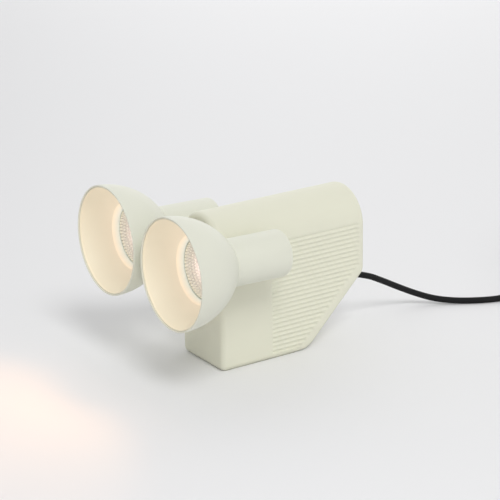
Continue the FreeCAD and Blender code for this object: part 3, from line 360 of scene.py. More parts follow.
def lathe(outline, segments, along=None, sunk=0.0):
    """A closed profile of (radius, y), less what is sunk, turned round the Y axis: x = r cos a,
    z = r sin a. A value for each of the profile's points goes into the V of a UV map."""
    angle = once_round(segments)
    radius, level = outline[:, :1] - sunk, outline[:, 1:]
    points = np.stack([radius * np.cos(angle), level + 0 * angle, radius * np.sin(angle)], -1)
    if along is not None:
        along = np.append(along, along[0])
    return grid_mesh(points, True, along=along)


def rounded_plan(half_x, half_y, radius, inset=0.0, count=8):
    """A rectangle with round corners, drawn in on every side, as one loop: each corner is a
    quarter circle, and each side has points between its corners."""
    half_x, half_y, radius = half_x - inset, half_y - inset, radius - inset
    radius = min(radius, half_x, half_y)
    loops = []
    for number, (east, north) in enumerate([(1, 1), (-1, 1), (-1, -1), (1, -1)]):
        angle = math.pi / 2 * (number + np.arange(count + 1) / count)
        centre = np.array([east * (half_x - radius), north * (half_y - radius)])
        loops.append(centre + radius * spokes(angle))
    corners = np.concatenate(loops)
    following = np.roll(corners, -1, 0)
    return np.stack([corners, (corners + following) / 2], 1).reshape(-1, 2)


def stacked(loops, levels):
    """Plan loops at their levels, one above the other, joined into a skin. The first and last
    loop are drawn together to a point, which closes it."""
    first, last = loops[0].mean(0), loops[-1].mean(0)
    loops = [0 * loops[0] + first, *loops, 0 * loops[-1] + last]
    levels = [levels[0], *levels, levels[-1]]
    rows = [np.column_stack([loop, np.full(len(loop), z)]) for loop, z in zip(loops, levels)]
    return grid_mesh(np.array(rows))


def moulded(plan, low, high, low_round, high_round, steps):
    """A block between two levels. Its plan, given how far to draw it in, follows a quarter
    circle towards each face: r (1 - sin a) inwards and r (1 - cos a) up or down."""
    bend = quarter(steps)
    insets = [*low_round * (1 - np.sin(bend)), *high_round * (1 - np.cos(bend))]
    levels = [*low + low_round * (1 - np.cos(bend)), *high - high_round * (1 - np.sin(bend))]
    return stacked([plan(inset) for inset in insets], levels)


def drawn_to(middle, outline, half):
    """A plan for moulded: an outline that shrinks towards its middle, half across."""
    return lambda inset: middle + (outline - middle) * (1 - inset / half)


def swept(line, radius, around):
    """A round tube along a line that is nowhere upright: each ring lies across the line, with
    one axis level. Its ends are closed by rings of no radius. V of its UV map counts how many
    times its girth it has run."""
    ahead = np.gradient(line, axis=0)
    ahead /= np.linalg.norm(ahead, axis=1)[:, None]
    side = np.cross(ahead, [0, 0, 1])
    side /= np.linalg.norm(side, axis=1)[:, None]
    top = np.cross(side, ahead)
    centres, side, top = (
        np.concatenate([rows[:1], rows, rows[-1:]])[:, None] for rows in (line, side, top)
    )
    girth = np.concatenate([[0], np.full(len(line), radius), [0]])[:, None, None]
    angle = once_round(around)[None, :, None]
    ring = side * np.cos(angle) + top * np.sin(angle)
    steps = np.linalg.norm(np.diff(centres[:, 0], axis=0), axis=1)
    turns = np.concatenate([[0], np.cumsum(steps)]) / (2 * math.pi * radius)
    return grid_mesh(centres + girth * ring, along=turns)


# ---- materials


def feed(tree, target, inputs):
    """Give a node's inputs their values, or link them to other nodes' sockets."""
    for key, value in dict(inputs).items():
        if isinstance(value, bpy.types.NodeSocket):
            tree.links.new(value, target.inputs[key])
        else:
            target.inputs[key].default_value = value


def node(tree, kind, inputs=(), **settings):
    """A shader node with its settings and inputs."""
    made = tree.nodes.new("ShaderNode" + kind)
    for key, value in settings.items():
        setattr(made, key, value)
    feed(tree, made, inputs)
    return made


def maths(tree, operation, *values):
    """One Math node's result."""
    return node(tree, "Math", enumerate(values), operation=operation).outputs[0]


def scaled(tree, vector, factor):
    """A colour or vector times a number."""
    return node(tree, "VectorMath", {0: vector, "Scale": factor}, operation="SCALE").outputs[0]


def noise(tree, place, scale, detail):
    """A noise texture's value."""
    inputs = {"Vector": place, "Scale": scale, "Detail": detail}
    return node(tree, "TexNoise", inputs).outputs["Fac"]


def object_place(tree):
    """The point in the object's own frame."""
    return node(tree, "TexCoord").outputs["Object"]


def uv_place(tree):
    """The point in the UV map of a piece."""
    return node(tree, "UVMap", uv_map="along").outputs[0]


def grain(tree, ask):
    """Moulded or sprayed surface: slow mottling of the colour, fine pits in the height, and a
    roughness that follows both."""
    reckon = partial(maths, tree)
    slow = noise(tree, ask["Vector"], ask["Mottle scale"], 3.0)
    fine = noise(tree, ask["Vector"], ask["Grain scale"], 2.0)
    sway = reckon("MULTIPLY", reckon("SUBTRACT", slow, 0.5), ask["Mottle"])
    tone = reckon("ADD", 1.0, reckon("MULTIPLY", sway, 2.0))
    uneven = reckon("SUBTRACT", reckon("ADD", slow, fine), 1.0)
    rough = reckon("MULTIPLY_ADD", uneven, ask["Roughness spread"], ask["Roughness"])
    return {"Colour": scaled(tree, ask["Colour"], tone), "Roughness": rough, "Height": fine}


def centred(tree, phase):
    """From -1 to 1 in each cell: twice the fraction, less one."""
    fraction = maths(tree, "FRACT", phase)
    return maths(tree, "SUBTRACT", maths(tree, "MULTIPLY", fraction, 2.0), 1.0)


def braid(tree, ask):
    """Woven cord cover from a UV map: two sets of strands wind opposite ways, and each passes
    over and under the other, with painted shade where a strand sinks. U runs once round the cord and V along it,
    in cord turns."""
    reckon = partial(maths, tree)
    painted_shade_span, painted_shade_deepest = 0.7, 0.6
    spot = node(tree, "SeparateXYZ", {0: ask["Vector"]}).outputs
    around = reckon("MULTIPLY", spot[0], ask["Strands"])
    along = reckon("MULTIPLY", spot[1], ask["Pitch"])
    one = reckon("ADD", around, along)
    other = reckon("SUBTRACT", around, along)

    def ridge(phase, shown):
        bow = centred(tree, phase)
        return reckon("MULTIPLY", reckon("SUBTRACT", 1.0, reckon("MULTIPLY", bow, bow)), shown)

    whole = reckon("ADD", reckon("FLOOR", one), reckon("FLOOR", other))
    over = reckon("PINGPONG", whole, 1.0)
    height = reckon("ADD", ridge(one, over), ridge(other, reckon("SUBTRACT", 1.0, over)))
    # Painted shade: the colour darkens where a strand sinks under the other.
    tone = reckon("MULTIPLY_ADD", height, painted_shade_span, painted_shade_deepest)
    return {"Colour": scaled(tree, ask["Colour"], tone), "Height": height}


def facets(tree, ask):
    """Facets of a reflector from a UV map: U runs once round it and V counts the rows, every
    other of which is turned by half a facet. Seams are darker and duller than facets."""
    reckon = partial(maths, tree)
    narrowness, darkening, dulling, roughness = 3.0, 0.55, 0.3, 0.22
    around, row, _ = node(tree, "SeparateXYZ", {0: ask["Vector"]}).outputs
    turned = reckon("MULTIPLY", reckon("PINGPONG", reckon("FLOOR", row), 1.0), 0.5)
    column = reckon("MULTIPLY_ADD", around, ask["Facets"], turned)

    def seam(step):
        return reckon("POWER", reckon("ABSOLUTE", centred(tree, step)), narrowness)

    joint = reckon("MAXIMUM", seam(column), seam(row))
    tone = reckon("MULTIPLY_ADD", joint, -darkening, 1.0)
    rough = reckon("MULTIPLY_ADD", joint, dulling, roughness)
    return {"Colour": scaled(tree, ask["Colour"], tone), "Roughness": rough}


def brushed(tree, ask):
    """Drawn or turned metal: noise stretched along one axis, as height and as roughness."""
    stretch = {0: ask["Vector"], 1: ask["Stretch"]}
    drawn = node(tree, "VectorMath", stretch, operation="MULTIPLY").outputs[0]
    lines = noise(tree, drawn, 1.0, 3.0)
    spread = 0.3
    off = maths(tree, "SUBTRACT", lines, 0.5)
    rough = maths(tree, "MULTIPLY_ADD", off, spread, ask["Roughness"])
    return {"Roughness": rough, "Height": lines}


# Each shared node group: what adds its nodes, and its inputs but for the vector.
EFFECTS = {
    "Surface grain": (grain, {
        "Colour": (0.8, 0.8, 0.8, 1.0), "Mottle": 0.03, "Mottle scale": 30.0,
        "Grain scale": 2500.0, "Roughness": 0.5, "Roughness spread": 0.08,
    }),
    "Cord braid": (braid, {"Colour": (0.02, 0.02, 0.02, 1.0), "Strands": 8.0, "Pitch": 8.0}),
    "Facets": (facets, {"Facets": 54.0, "Colour": (0.9, 0.9, 0.9, 1.0)}),
    "Brushed metal": (brushed, {"Stretch": (2500.0, 2500.0, 60.0), "Roughness": 0.35}),
}


def effect(tree, name, inputs):
    """The outputs of a shared node group, which is built once. A default of three numbers makes
    a vector input and one of four a colour."""
    group = bpy.data.node_groups.get(name)
    if group is None:
        group = bpy.data.node_groups.new(name, "ShaderNodeTree")
        add, defaults = EFFECTS[name]

        def socket(label, way, kind):
            return group.interface.new_socket(label, in_out=way, socket_type="NodeSocket" + kind)

        for label, value in {"Vector": (0.0, 0.0, 0.0), **defaults}.items():
            size = len(value) if isinstance(value, tuple) else 1
            made = socket(label, "INPUT", {1: "Float", 3: "Vector", 4: "Color"}[size])
            made.default_value = value
        results = add(group, group.nodes.new("NodeGroupInput").outputs)
        for label in results:
            socket(label, "OUTPUT", "Color" if label == "Colour" else "Float")
        feed(group, group.nodes.new("NodeGroupOutput"), results)
    return node(tree, "Group", inputs, node_tree=group).outputs


def rgba(value):
    """A colour with its alpha, from three numbers or from the name of a finish."""
    if isinstance(value, str):
        value = getattr(bpy.context.scene.lamp_finish, value)
    return (*value, 1.0)


def bump(tree, shader, height, distance):
    """Height as relief, the distance in metres."""
    inputs = {"Height": height, "Distance": distance, "Strength": 1.0}
    feed(tree, shader, {"Normal": node(tree, "Bump", inputs).outputs[0]})


def coat(tree, shader, value, roughness, mottle, grain_scale, depth, metallic=0.0):
    """Paint, moulding, rubber, ceramic or raw metal with the shared surface grain."""
    inputs = {"Vector": object_place(tree), "Mottle": mottle, "Grain scale": grain_scale}
    inputs["Colour"] = value if isinstance(value, bpy.types.NodeSocket) else rgba(value)
    skin = effect(tree, "Surface grain", {**inputs, "Roughness": roughness})
    looks = {"Base Color": skin["Colour"], "Roughness": skin["Roughness"], "Metallic": metallic}
    feed(tree, shader, looks)
    bump(tree, shader, skin["Height"], depth)


def metal(tree, shader, value, roughness):
    """Bare metal with drawn lines."""
    inputs = {"Vector": object_place(tree), "Roughness": roughness}
    drawn = effect(tree, "Brushed metal", inputs)
    looks = {"Base Color": rgba(value), "Roughness": drawn["Roughness"], "Metallic": 1.0}
    feed(tree, shader, looks)
    bump(tree, shader, drawn["Height"], 0.000005)


def bowl_paint(tree, shader):
    """Paint of the inner bowls, which blends into the collar's painted light where V of the UV map rises: a paler,
    bluer colour that stands in for the brighter light nearest the lamp.
    """
    share = node(tree, "SeparateXYZ", {0: uv_place(tree)}).outputs[1]
    ends = {0: share, 6: rgba("bowls"), 7: rgba("painted_collar_light")}
    blend = node(tree, "Mix", ends, data_type="RGBA").outputs[2]
    coat(tree, shader, blend, 0.55, 0.012, 2200.0, 0.000012)


def cord_cover(tree, shader):
    """Woven cover, laid out by the UV map."""
    weave = effect(tree, "Cord braid", {"Vector": uv_place(tree), "Colour": rgba("cord")})
    looks = {"Base Color": weave["Colour"], "Roughness": 0.85, "Specular IOR Level": 0.3}
    feed(tree, shader, looks)
    bump(tree, shader, weave["Height"], 0.00025)


def mirror_coat(tree, shader):
    """Reflector: bright facets with dull seams, laid out by the UV map, which also glow."""
    inputs = {
        "Vector": uv_place(tree),
        "Facets": float(bpy.context.scene.lamp_head.facets),
        "Colour": (0.52, 0.50, 0.41, 1.0),
    }
    cells = effect(tree, "Facets", inputs)
    looks = {"Base Color": cells["Colour"], "Roughness": cells["Roughness"], "Metallic": 1.0}
    feed(tree, shader, looks)
    feed(tree, shader, {"Emission Color": cells["Colour"], "Emission Strength": 0.72})


def front_glass(tree, shader):
    """Clear glass that shows what is behind it."""
    looks = {"Base Color": (0.96, 0.94, 0.97, 1.0), "Roughness": 0.05, "Alpha": 0.16, "IOR": 1.5}
    feed(tree, shader, looks)


def capsule_glow(tree, shader):
    """Glass of the lit capsule."""
    feed(tree, shader, {"Base Color": (0.42, 0.36, 0.42, 1.0), "Roughness": 0.2})
    feed(tree, shader, {"Emission Color": rgba("glow"), "Emission Strength": 0.04})


def floor_painted_falloff(tree, shader):
    """Pale paper with painted light falloff: it is made brighter and darker slowly across the floor,
    1 + a . (x, y) + b . (x y, x x, y y), in metres, between a least and a most."""
    least, most = 0.88, 1.12
    reckon = partial(maths, tree)
    place = object_place(tree)
    x, y, _ = node(tree, "SeparateXYZ", {0: place}).outputs
    products = [reckon("MULTIPLY", *pair) for pair in ((x, y), (x, x), (y, y))]
    squares = node(tree, "CombineXYZ", enumerate(products)).outputs[0]
    tone = 1.0
    # Painted light: the paper's brightness rises and falls across the floor as the light falls on it.
    for vector, weights in ((place, (0.103, 0.037, 0.0)), (squares, (-0.48, -0.10, -0.24))):
        painted_falloff = node(tree, "VectorMath", {0: vector, 1: weights}, operation="DOT_PRODUCT")
        tone = reckon("ADD", tone, painted_falloff.outputs["Value"])
    tone = reckon("MINIMUM", reckon("MAXIMUM", tone, least), most)
    feed(tree, shader, {"Base Color": scaled(tree, (0.84, 0.84, 0.85), tone), "Roughness": 0.9})


# What makes each material. A coat has its colour, roughness, mottling, scale and depth of the
# grain and, if it is raw, how metallic it is; a metal has its colour and roughness.
MATERIALS = {
    "Housing plastic": (coat, "housing", 0.46, 0.012, 1800.0, 0.000012),
    "Head paint": (coat, "heads", 0.42, 0.010, 2200.0, 0.000010),
    "Soft rubber": (coat, (0.018, 0.018, 0.018), 0.6, 0.10, 1500.0, 0.00003),
    "Pad rubber": (coat, (0.50, 0.49, 0.41), 0.7, 0.06, 1500.0, 0.00003),
    "Black moulding": (coat, (0.014, 0.014, 0.015), 0.38, 0.08, 1600.0, 0.00002),
    "Lead cover": (coat, "cord", 0.7, 0.10, 1800.0, 0.00004),
    "Lead sleeve": (coat, (0.55, 0.52, 0.48), 0.5, 0.05, 2500.0, 0.00002),
    "Ceramic": (coat, (0.72, 0.71, 0.67), 0.35, 0.03, 900.0, 0.00002),
    "Terminal moulding": (coat, (0.68, 0.67, 0.60), 0.4, 0.03, 2500.0, 0.00002),
    "Washer fibre": (coat, (0.16, 0.07, 0.04), 0.7, 0.15, 1400.0, 0.00003),
    "Raw iron": (coat, (0.05, 0.05, 0.052), 0.65, 0.25, 700.0, 0.00015, 0.7),
    "Plate paint": (coat, (0.42, 0.43, 0.36), 0.45, 0.03, 2500.0, 0.00002),
    "Zinc plate": (metal, (0.62, 0.62, 0.61), 0.32),
    "Nickel plate": (metal, (0.70, 0.68, 0.64), 0.18),
    "Brass": (metal, (0.72, 0.52, 0.22), 0.28),
    "Bowl paint and painted collar light": (bowl_paint,),
    "Cord cover": (cord_cover,),
    "Mirror coat": (mirror_coat,),
    "Front glass": (front_glass,),
    "Capsule": (capsule_glow,),
    "Floor with painted falloff": (floor_painted_falloff,),
}
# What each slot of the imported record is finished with.
FINISHES = {
    "housing_plastic": "Housing plastic",
    "foot_rubber": "Pad rubber",
    "base_steel": "Plate paint",
    "ballast_iron": "Raw iron",
    "fixing_steel": "Zinc plate",
    "terminal_plastic": "Terminal moulding",
    "terminal_brass": "Brass",
    "relief_rubber": "Soft rubber",
    "cord_cover": "Lead cover",
    "lead_silicone": "Lead sleeve",
    "head_paint": "Head paint",
    "bowl_paint": "Bowl paint and painted collar light",
    "reflector_glass": "Mirror coat",
    "lens_glass": "Front glass",
    "capsule_glass": "Capsule",
    "cap_ceramic": "Ceramic",
    "pin_steel": "Nickel plate",
    "holder_ceramic": "Ceramic",
    "washer_fibre": "Washer fibre",
    "switch_plastic": "Black moulding",
    "rocker_plastic": "Black moulding",
    "plug_plastic": "Black moulding",
}


def finish(name):
    """A material by its name, built once round one Principled BSDF."""
    material = bpy.data.materials.get(name)
    if material is None:
        material = bpy.data.materials.new(name)
        material.use_nodes = True
        tree = material.node_tree
        make, *rest = MATERIALS[name]
        make(tree, tree.nodes["Principled BSDF"], *rest)
    return material


# ---- housing


# Length over which a groove starts, at its front end.
GROOVE_START = 0.25 * MM


def low_outline(shape, along, inset):
    """Height of the housing's lower outline, drawn inwards by inset, at a distance behind the
    front face: level, an arc, the 45 degree slope, and an arc into the rear face."""
    foot = shape.depth - shape.corner_cut
    foot_centre = foot - shape.foot_round * math.tan(math.pi / 8)
    heel_y = shape.depth - shape.heel_round
    heel_z = heel_y - foot + shape.heel_round * math.sqrt(2)
    foot_arc = np.maximum(shape.foot_round - inset, 0)
    heel_arc = np.maximum(shape.heel_round - inset, 0)
    past_foot = np.maximum(along - foot_centre, 0)
    past_heel = np.maximum(along - heel_y, 0)
    bend = shape.foot_round - np.sqrt(np.maximum(foot_arc**2 - past_foot**2, 0))
    bend = np.where(past_foot > 0, bend, inset)
    slope = along - foot + inset * math.sqrt(2)
    turn = heel_z - np.sqrt(np.maximum(heel_arc**2 - past_heel**2, 0))
    half = math.sqrt(0.5)
    lower = np.where(past_foot > foot_arc * half, slope, bend)
    return np.where(along - heel_y > heel_arc * half, turn, lower)


def groove_depth(shape, along, height):
    """Depth of the grooves at a point of the flank: a circle's arc across each groove, faded in
    at its two ends."""
    count = round((shape.rib_top - shape.rib_foot) / shape.rib_pitch)
    step = np.clip(np.round((shape.rib_top - height) / shape.rib_pitch), 0, count)
    middle = shape.rib_top - step * shape.rib_pitch
    sink = shape.rib_radius - shape.rib_depth
    off = np.minimum(np.abs(height - middle), shape.rib_radius)
    depth = np.maximum(np.sqrt(shape.rib_radius**2 - off**2) - sink, 0)
    foot = shape.depth - shape.corner_cut
    end = np.minimum(shape.depth - shape.rib_rear, foot + middle - shape.rib_slope)
    rise = np.clip((along - shape.rib_front) / GROOVE_START, 0, 1)
    fall = np.clip((end - along) / shape.rib_fade, 0, 1)
    return depth * rise * np.sin(math.pi / 2 * fall)


def housing_slices(shape):
    """The cross-sections to draw: for each, its distance behind the front face and how far it
    is drawn in from the housing's outline."""
    half = shape.width / 2
    bend = quarter(9)
    face = np.linspace(half, shape.front_round, 6)[:-1]
    front_y = shape.front_round * (1 - np.cos(bend))
    front_in = shape.front_round * (1 - np.sin(bend))
    start = shape.rib_front
    first_end = shape.depth - shape.corner_cut + shape.rib_foot - shape.rib_slope
    last_end = shape.depth - shape.rib_rear
    ramp = [start, start + 0.48 * GROOVE_START, start + GROOVE_START]
    plain = np.array([start * 0.5, start - MM, *ramp])
    step = shape.rib_pitch / 5
    before = first_end - shape.rib_fade
    middle = np.linspace(start + 4 * MM, before - 2 * MM, 5)
    ends = np.append(np.arange(before - step, last_end, step), last_end)
    straight = np.concatenate([plain, middle, ends])
    rear = shape.depth - shape.side_round * (1 - np.cos(bend[::-1]))
    rear = rear[rear > straight[-1] + 0.1 * MM]
    sides = np.concatenate([straight, rear])
    closing = np.linspace(shape.side_round, half, 6)[1:]
    along = np.concatenate([0 * face, front_y, sides, 0 * closing + shape.depth])
    inset = np.concatenate([face, front_in, 0 * sides, closing])
    return along, inset


def housing_mesh(shape):
    """The housing's skin, as cross-sections from front to rear. Half a section runs from the
    middle of the underside over the lower rounding, R (1 - cos b) up and X - R + R sin b
    across, up the flank and round the crown's quarter circle; the other half mirrors it."""
    half = shape.width / 2
    arch = shape.height - half
    least_round = 0.2 * MM
    turn = np.linspace(0, 1, 9)
    # The crown's lowest part carries the upper half of the highest groove.
    grooved = math.asin((shape.rib_top + shape.rib_radius - arch) / half)
    crown = np.append(np.linspace(0, grooved, 10)[:-1], np.linspace(grooved, math.pi / 2, 24))
    across = np.array([0, 0.5, 0.9])
    per_groove = 9
    count = round((arch - shape.rib_foot) / shape.rib_pitch * per_groove) + 4 * per_groove
    flank = np.linspace(arch - count * shape.rib_pitch / per_groove, arch, count + 1)[:-1]
    flank = flank[flank > shape.side_round]
    rows = []
    for distance, drawn_in in zip(*housing_slices(shape)):
        front = distance < shape.depth / 2
        if drawn_in and not front:
            # Closing the rear face, whose outline is the last slice's.
            edge = half - drawn_in
            x_turn = np.full(len(turn), edge)
            low = low_outline(shape, np.full(len(turn), distance), 0.0)
            z_turn = low + drawn_in - shape.side_round
        else:
            bend = max(shape.side_round - drawn_in, least_round) if front else shape.side_round
            reach = 1.0 if front else min((shape.depth - distance) / shape.side_round, 1.0)
            swing = turn * math.acos(1 - reach)
            x_turn = half - drawn_in - bend + bend * np.sin(swing)
            lift = bend * (1 - np.cos(swing)) + drawn_in
            z_turn = low_outline(shape, np.full(len(turn), distance), lift)
            edge = x_turn[-1]
        z_turn = np.maximum(z_turn, shape.foot_gap)
        z_flank = np.maximum(flank, z_turn[-1])
        x_flank = edge - groove_depth(shape, distance, z_flank) * (z_flank > z_turn[-1])
        z_crown = arch + edge * np.sin(crown)
        sunk = groove_depth(shape, distance, z_crown) - edge * (1 - np.cos(crown))
        x_crown = edge * np.cos(crown) - np.maximum(sunk, 0)
        x = np.concatenate([across * x_turn[0], x_turn, x_flank, x_crown])
        z = np.concatenate([0 * across + z_turn[0], z_turn, z_flank, z_crown])
        x = np.concatenate([x, -x[-2:0:-1]])
        z = np.concatenate([z, z[-2:0:-1]])
        rows.append(np.stack([x, np.full(len(x), distance), z], 1))
    points = np.array(rows)
    points[..., 1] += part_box("base_shell")[0].y
    return grid_mesh(points)


# ---- heads


def pivot(word):
    """Where the axis of the joint whose name starts with a word lies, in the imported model."""
    return next(joint for joint in frame["joints"] if joint["name"].startswith(word))["pos_m"]


def head_place(head, word, side):
    """From a head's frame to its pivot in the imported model. Both heads turn about one line."""
    low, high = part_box(f"{word}_neck")
    across = (high.x if side > 0 else low.x) - side * head.neck_radius
    _, along, level = pivot("right")
    return Matrix.Translation((across, along, level)) @ Matrix.Rotation(-head.aim, 4, "X")


class HeadForm:
    """Levels and radii of a head that its pieces share, in the head's frame."""

    def __init__(self, head):
        self.rim = -(head.pivot_setback + head.rim_reach)
        self.centre = head.rim_radius - head.bell_arc
        run = head.neck_radius - self.centre
        self.crease = self.rim + math.sqrt(head.bell_arc**2 - run**2)
        self.face = self.rim + head.lamp_recess
        self.bore = head.neck_radius - head.neck_wall


def bell_outline(head, form):
    """Outer arc, spigot and inner arc, joined by a flat lip with rounded edges."""
    inner = head.bell_arc - head.bell_wall
    inner_y = form.crease - head.bell_wall
    inner_r = form.centre + math.sqrt(inner**2 - (inner_y - form.rim) ** 2)
    lip, play, spigot_wall, spigot_length = mm(0.4, 0.05, 1.2, 6)
    step_in, step_front, step_back = mm(0.12, 0.02, 0.1)
    lip_y = form.rim + lip
    lip_out = form.centre + math.sqrt(head.bell_arc**2 - lip**2)
    lip_in = lip_out - head.lip_wall
    spigot = form.bore - play
    spigot_in = spigot - spigot_wall
    spigot_end = form.crease + spigot_length
    # Between arc and spigot a small step, which shows as a line round the neck.
    return traced(
        arc((lip_out, lip_y), (head.neck_radius, form.crease), head.bell_arc, 1, 40),
        (head.neck_radius - step_in, form.crease - step_front),
        [(spigot, form.crease + step_back), (spigot, spigot_end)],
        [(spigot_in, spigot_end), (spigot_in, inner_y)],
        arc((inner_r, inner_y), (lip_in, lip_y), inner, -1, 40),
        arc((lip_in, lip_y), (lip_in + lip, form.rim), lip, 1, 5),
        arc((lip_out - lip, form.rim), (lip_out, lip_y), lip, 1, 5),
    )


def bowl_outline(head, form):
    """Sheet bowl: a seat in the rim, the bowl's arc, and a steep collar round the lamp."""
    sheet = head.bowl_sheet
    play, setback, land_length, lamp_gap, edge = mm(0.12, 0.8, 1.5, 0.8, 0.35)
    seat = head.rim_radius - head.lip_wall - play
    front = form.rim + setback
    land = front + land_length
    end = form.face + lamp_gap
    collar = end - head.collar_length
    outer_collar = collar + sheet * 0.7
    mouth = head.lamp_radius + lamp_gap
    flare = mouth + head.collar_flare
    outline = traced(
        [(seat - sheet, front), (seat, front)],
        arc((seat, land), (flare + sheet, outer_collar), head.bowl_arc + sheet, 1, 40),
        [(flare + sheet, outer_collar), (mouth + sheet, end), (mouth, end)],
        arc((flare, collar), (seat - sheet, land), head.bowl_arc, -1, 40),
        (seat - sheet, land),
    )
    return softened(outline, edge)


def neck_outline(head, form):
    """A tube with a closed, rounded rear end and a ledge for the holder plate, which lies
    behind the lamp's cap, a gap and the lampholder."""
    cap, gap, holder, holder_plate, ledge, edge = mm(22, 0.1, 12.4, 1.2, 1, 0.15)
    plate = form.face + head.lamp_cup + cap + gap + holder + holder_plate
    end = head.neck_back
    inner = form.bore - ledge
    bend = head.neck_round
    outline = traced(
        [(form.bore, form.crease), (head.neck_radius, form.crease)],
        arc((head.neck_radius, end - bend), (head.neck_radius - bend, end), bend, 1, 10),
        [(head.neck_radius - bend, end), (0, end), (0, end - head.neck_wall)],
        [(inner, end - head.neck_wall), (inner, plate), (form.bore, plate)],
    )
    return softened(outline, edge, 2, 60)


def boss_mesh(head, side):
    """Flat boss on the housing's side of the neck, turned round the pivot's axis."""
    wide, edge = head.boss_radius, 0.05 * MM
    inner = head.neck_radius - head.boss_depth
    outer = head.neck_radius + head.boss_proud
    mesh = lathe(softened(traced((0, inner), (wide, inner), (wide, outer), (0, outer)), edge), 64)
    mesh.transform(Matrix.Rotation(math.pi / 2 * side, 4, "Z"))
    return mesh


def reflector_mesh(head, form):
    """Reflector: a cup whose inside is broken into rows of shallow pillows. Its inner radius
    is the arc's less a bulge |sin(n a / 2)| |sin(pi t)|, where a is the angle round the cup, n
    the facets in a row and t the rows passed. Every other row is turned half a facet."""
    wall, skirt, cap, bulge, edge = mm(1.2, 3, 12.1, 0.32, 0.3)
    per_ring, per_facet = 8, 6
    shoulder = form.face + skirt
    end = form.face + head.lamp_cup
    outer = traced(
        (head.lamp_radius, form.face + edge),
        arc((head.lamp_radius, shoulder), (cap, end), head.lamp_cup_arc, 1, 24),
        [(cap, end), (0, end), (0, end - wall)],
    )
    rows = head.facet_rings * per_ring
    front = (head.lamp_radius - wall, shoulder)
    inner = arc((cap - wall, end - wall), front, head.lamp_cup_arc - wall, -1, rows)
    profile = traced(
        outer,
        inner,
        [front, (head.lamp_radius - wall, form.face + edge)],
        [(head.lamp_radius - wall + edge, form.face), (head.lamp_radius - edge, form.face)],
    )
    broken = slice(len(outer), len(outer) + rows)
    columns = head.facets * per_facet
    angle = once_round(columns)
    step = np.arange(rows)[:, None] / per_ring
    half_turned = math.pi / 2 * (np.floor(step) % 2)
    sunk = np.zeros((len(profile), columns))
    sunk[broken] = bulge * np.abs(np.sin(math.pi * step))
    sunk[broken] *= np.abs(np.sin(head.facets / 2 * angle + half_turned))
    counted = np.full(len(profile), 0.5)
    counted[broken] = step[:, 0]
    return lathe(profile, columns, counted, sunk)


def lens_outline(head, form):
    """Front glass: a disc whose face falls back along a parabola towards its rim."""
    inside, recess, thick, dome = mm(1.25, 0.5, 1.4, 0.35)
    rim = head.lamp_radius - inside
    front = form.face + recess
    back = front + thick
    share = np.linspace(0, 1, 14)
    face = np.stack([rim * share, front + dome * share**2], 1)
    return traced(face, (rim, back), (0, back))


def capsule_outline(head, form):
    """Capsule in the reflector: a tube with a round nose and a slimmer foot."""
    long, wide, waist_at, step = mm(17, 4.6, 9, 0.6)
    flatness, slimness = 0.6, 0.82
    foot = form.face + head.lamp_cup
    nose = foot - long
    slim = wide * slimness
    bend = quarter(10)
    tip = np.stack([wide * np.sin(bend), nose + wide * flatness * (1 - np.cos(bend))], 1)
    waist = nose + waist_at
    return traced(tip, (wide, waist), (slim, waist + step), (slim, foot), (0, foot))


def build_head(head, word, side):
    """The visible pieces of one head. The bowl's paint turns into the collar's painted light, a paler colour for
    the brighter light nearest the lamp, from the radius blend_from inwards, over the width blend_over."""
    form = HeadForm(head)
    place = head_place(head, word, side)
    bowl = bowl_outline(head, form)
    # Where the bowl's paint gives way to the collar's painted light, which stands in for the brighter light
    # nearest the lamp.
    past_collar, blend_over = mm(0.9, 2.2)
    blend_from = head.lamp_radius + head.collar_flare + past_collar
    collar = eased(np.clip((blend_from - bowl[:, 0]) / blend_over, 0, 1))
    neck = [lathe(neck_outline(head, form), 128), boss_mesh(head, side)]
    for name, stands_for, slot, sharp, meshes in (
        ("bell_shade", "bell", "head_paint", 40, [lathe(bell_outline(head, form), 160)]),
        ("bowl_liner", "inner_bowl", "bowl_paint", 40, [lathe(bowl, 160, collar)]),
        ("neck_tube", "neck", "head_paint", 40, neck),
        ("reflector_cup", "lamp_reflector", "reflector_glass", 50, [reflector_mesh(head, form)]),
        ("front_glass", "lamp_lens", "lens_glass", 32, [lathe(lens_outline(head, form), 96)]),
        ("capsule", "lamp_capsule", "capsule_glass", 32, [lathe(capsule_outline(head, form), 48)]),
    ):
        for mesh in meshes:
            mesh.transform(place)
        nodes = [f"{word}_{stands_for}"]
        piece(f"{word}_{name}", meshes, slot, nodes, f"{word}_head", sharp)


# ---- cord


def spline_line(route):
    """Points of the smooth line that a route of control points makes, in metres."""
    curve = bpy.data.curves.new("route", "CURVE")
    curve.dimensions = "3D"
    spline = curve.splines.new("NURBS")
    spline.points.add(len(route) - 1)
    weighted = np.column_stack([np.array(route) * MM, np.ones(len(route))])
    spline.points.foreach_set("co", weighted.ravel())
    spline.order_u = 3
    spline.use_endpoint_u = True
    spline.resolution_u = 8
    thing = bpy.data.objects.new("route", curve)
    mesh = bpy.data.meshes.new_from_object(thing)
    line = np.zeros(len(mesh.vertices) * 3, np.float32)
    mesh.vertices.foreach_get("co", line)
    bpy.data.objects.remove(thing)
    bpy.data.curves.remove(curve)
    bpy.data.meshes.remove(mesh)
    line = line.reshape(-1, 3).astype(float)
    apart = np.linalg.norm(np.diff(line, axis=0), axis=1)
    return line[np.concatenate([[True], apart > 1e-7])]


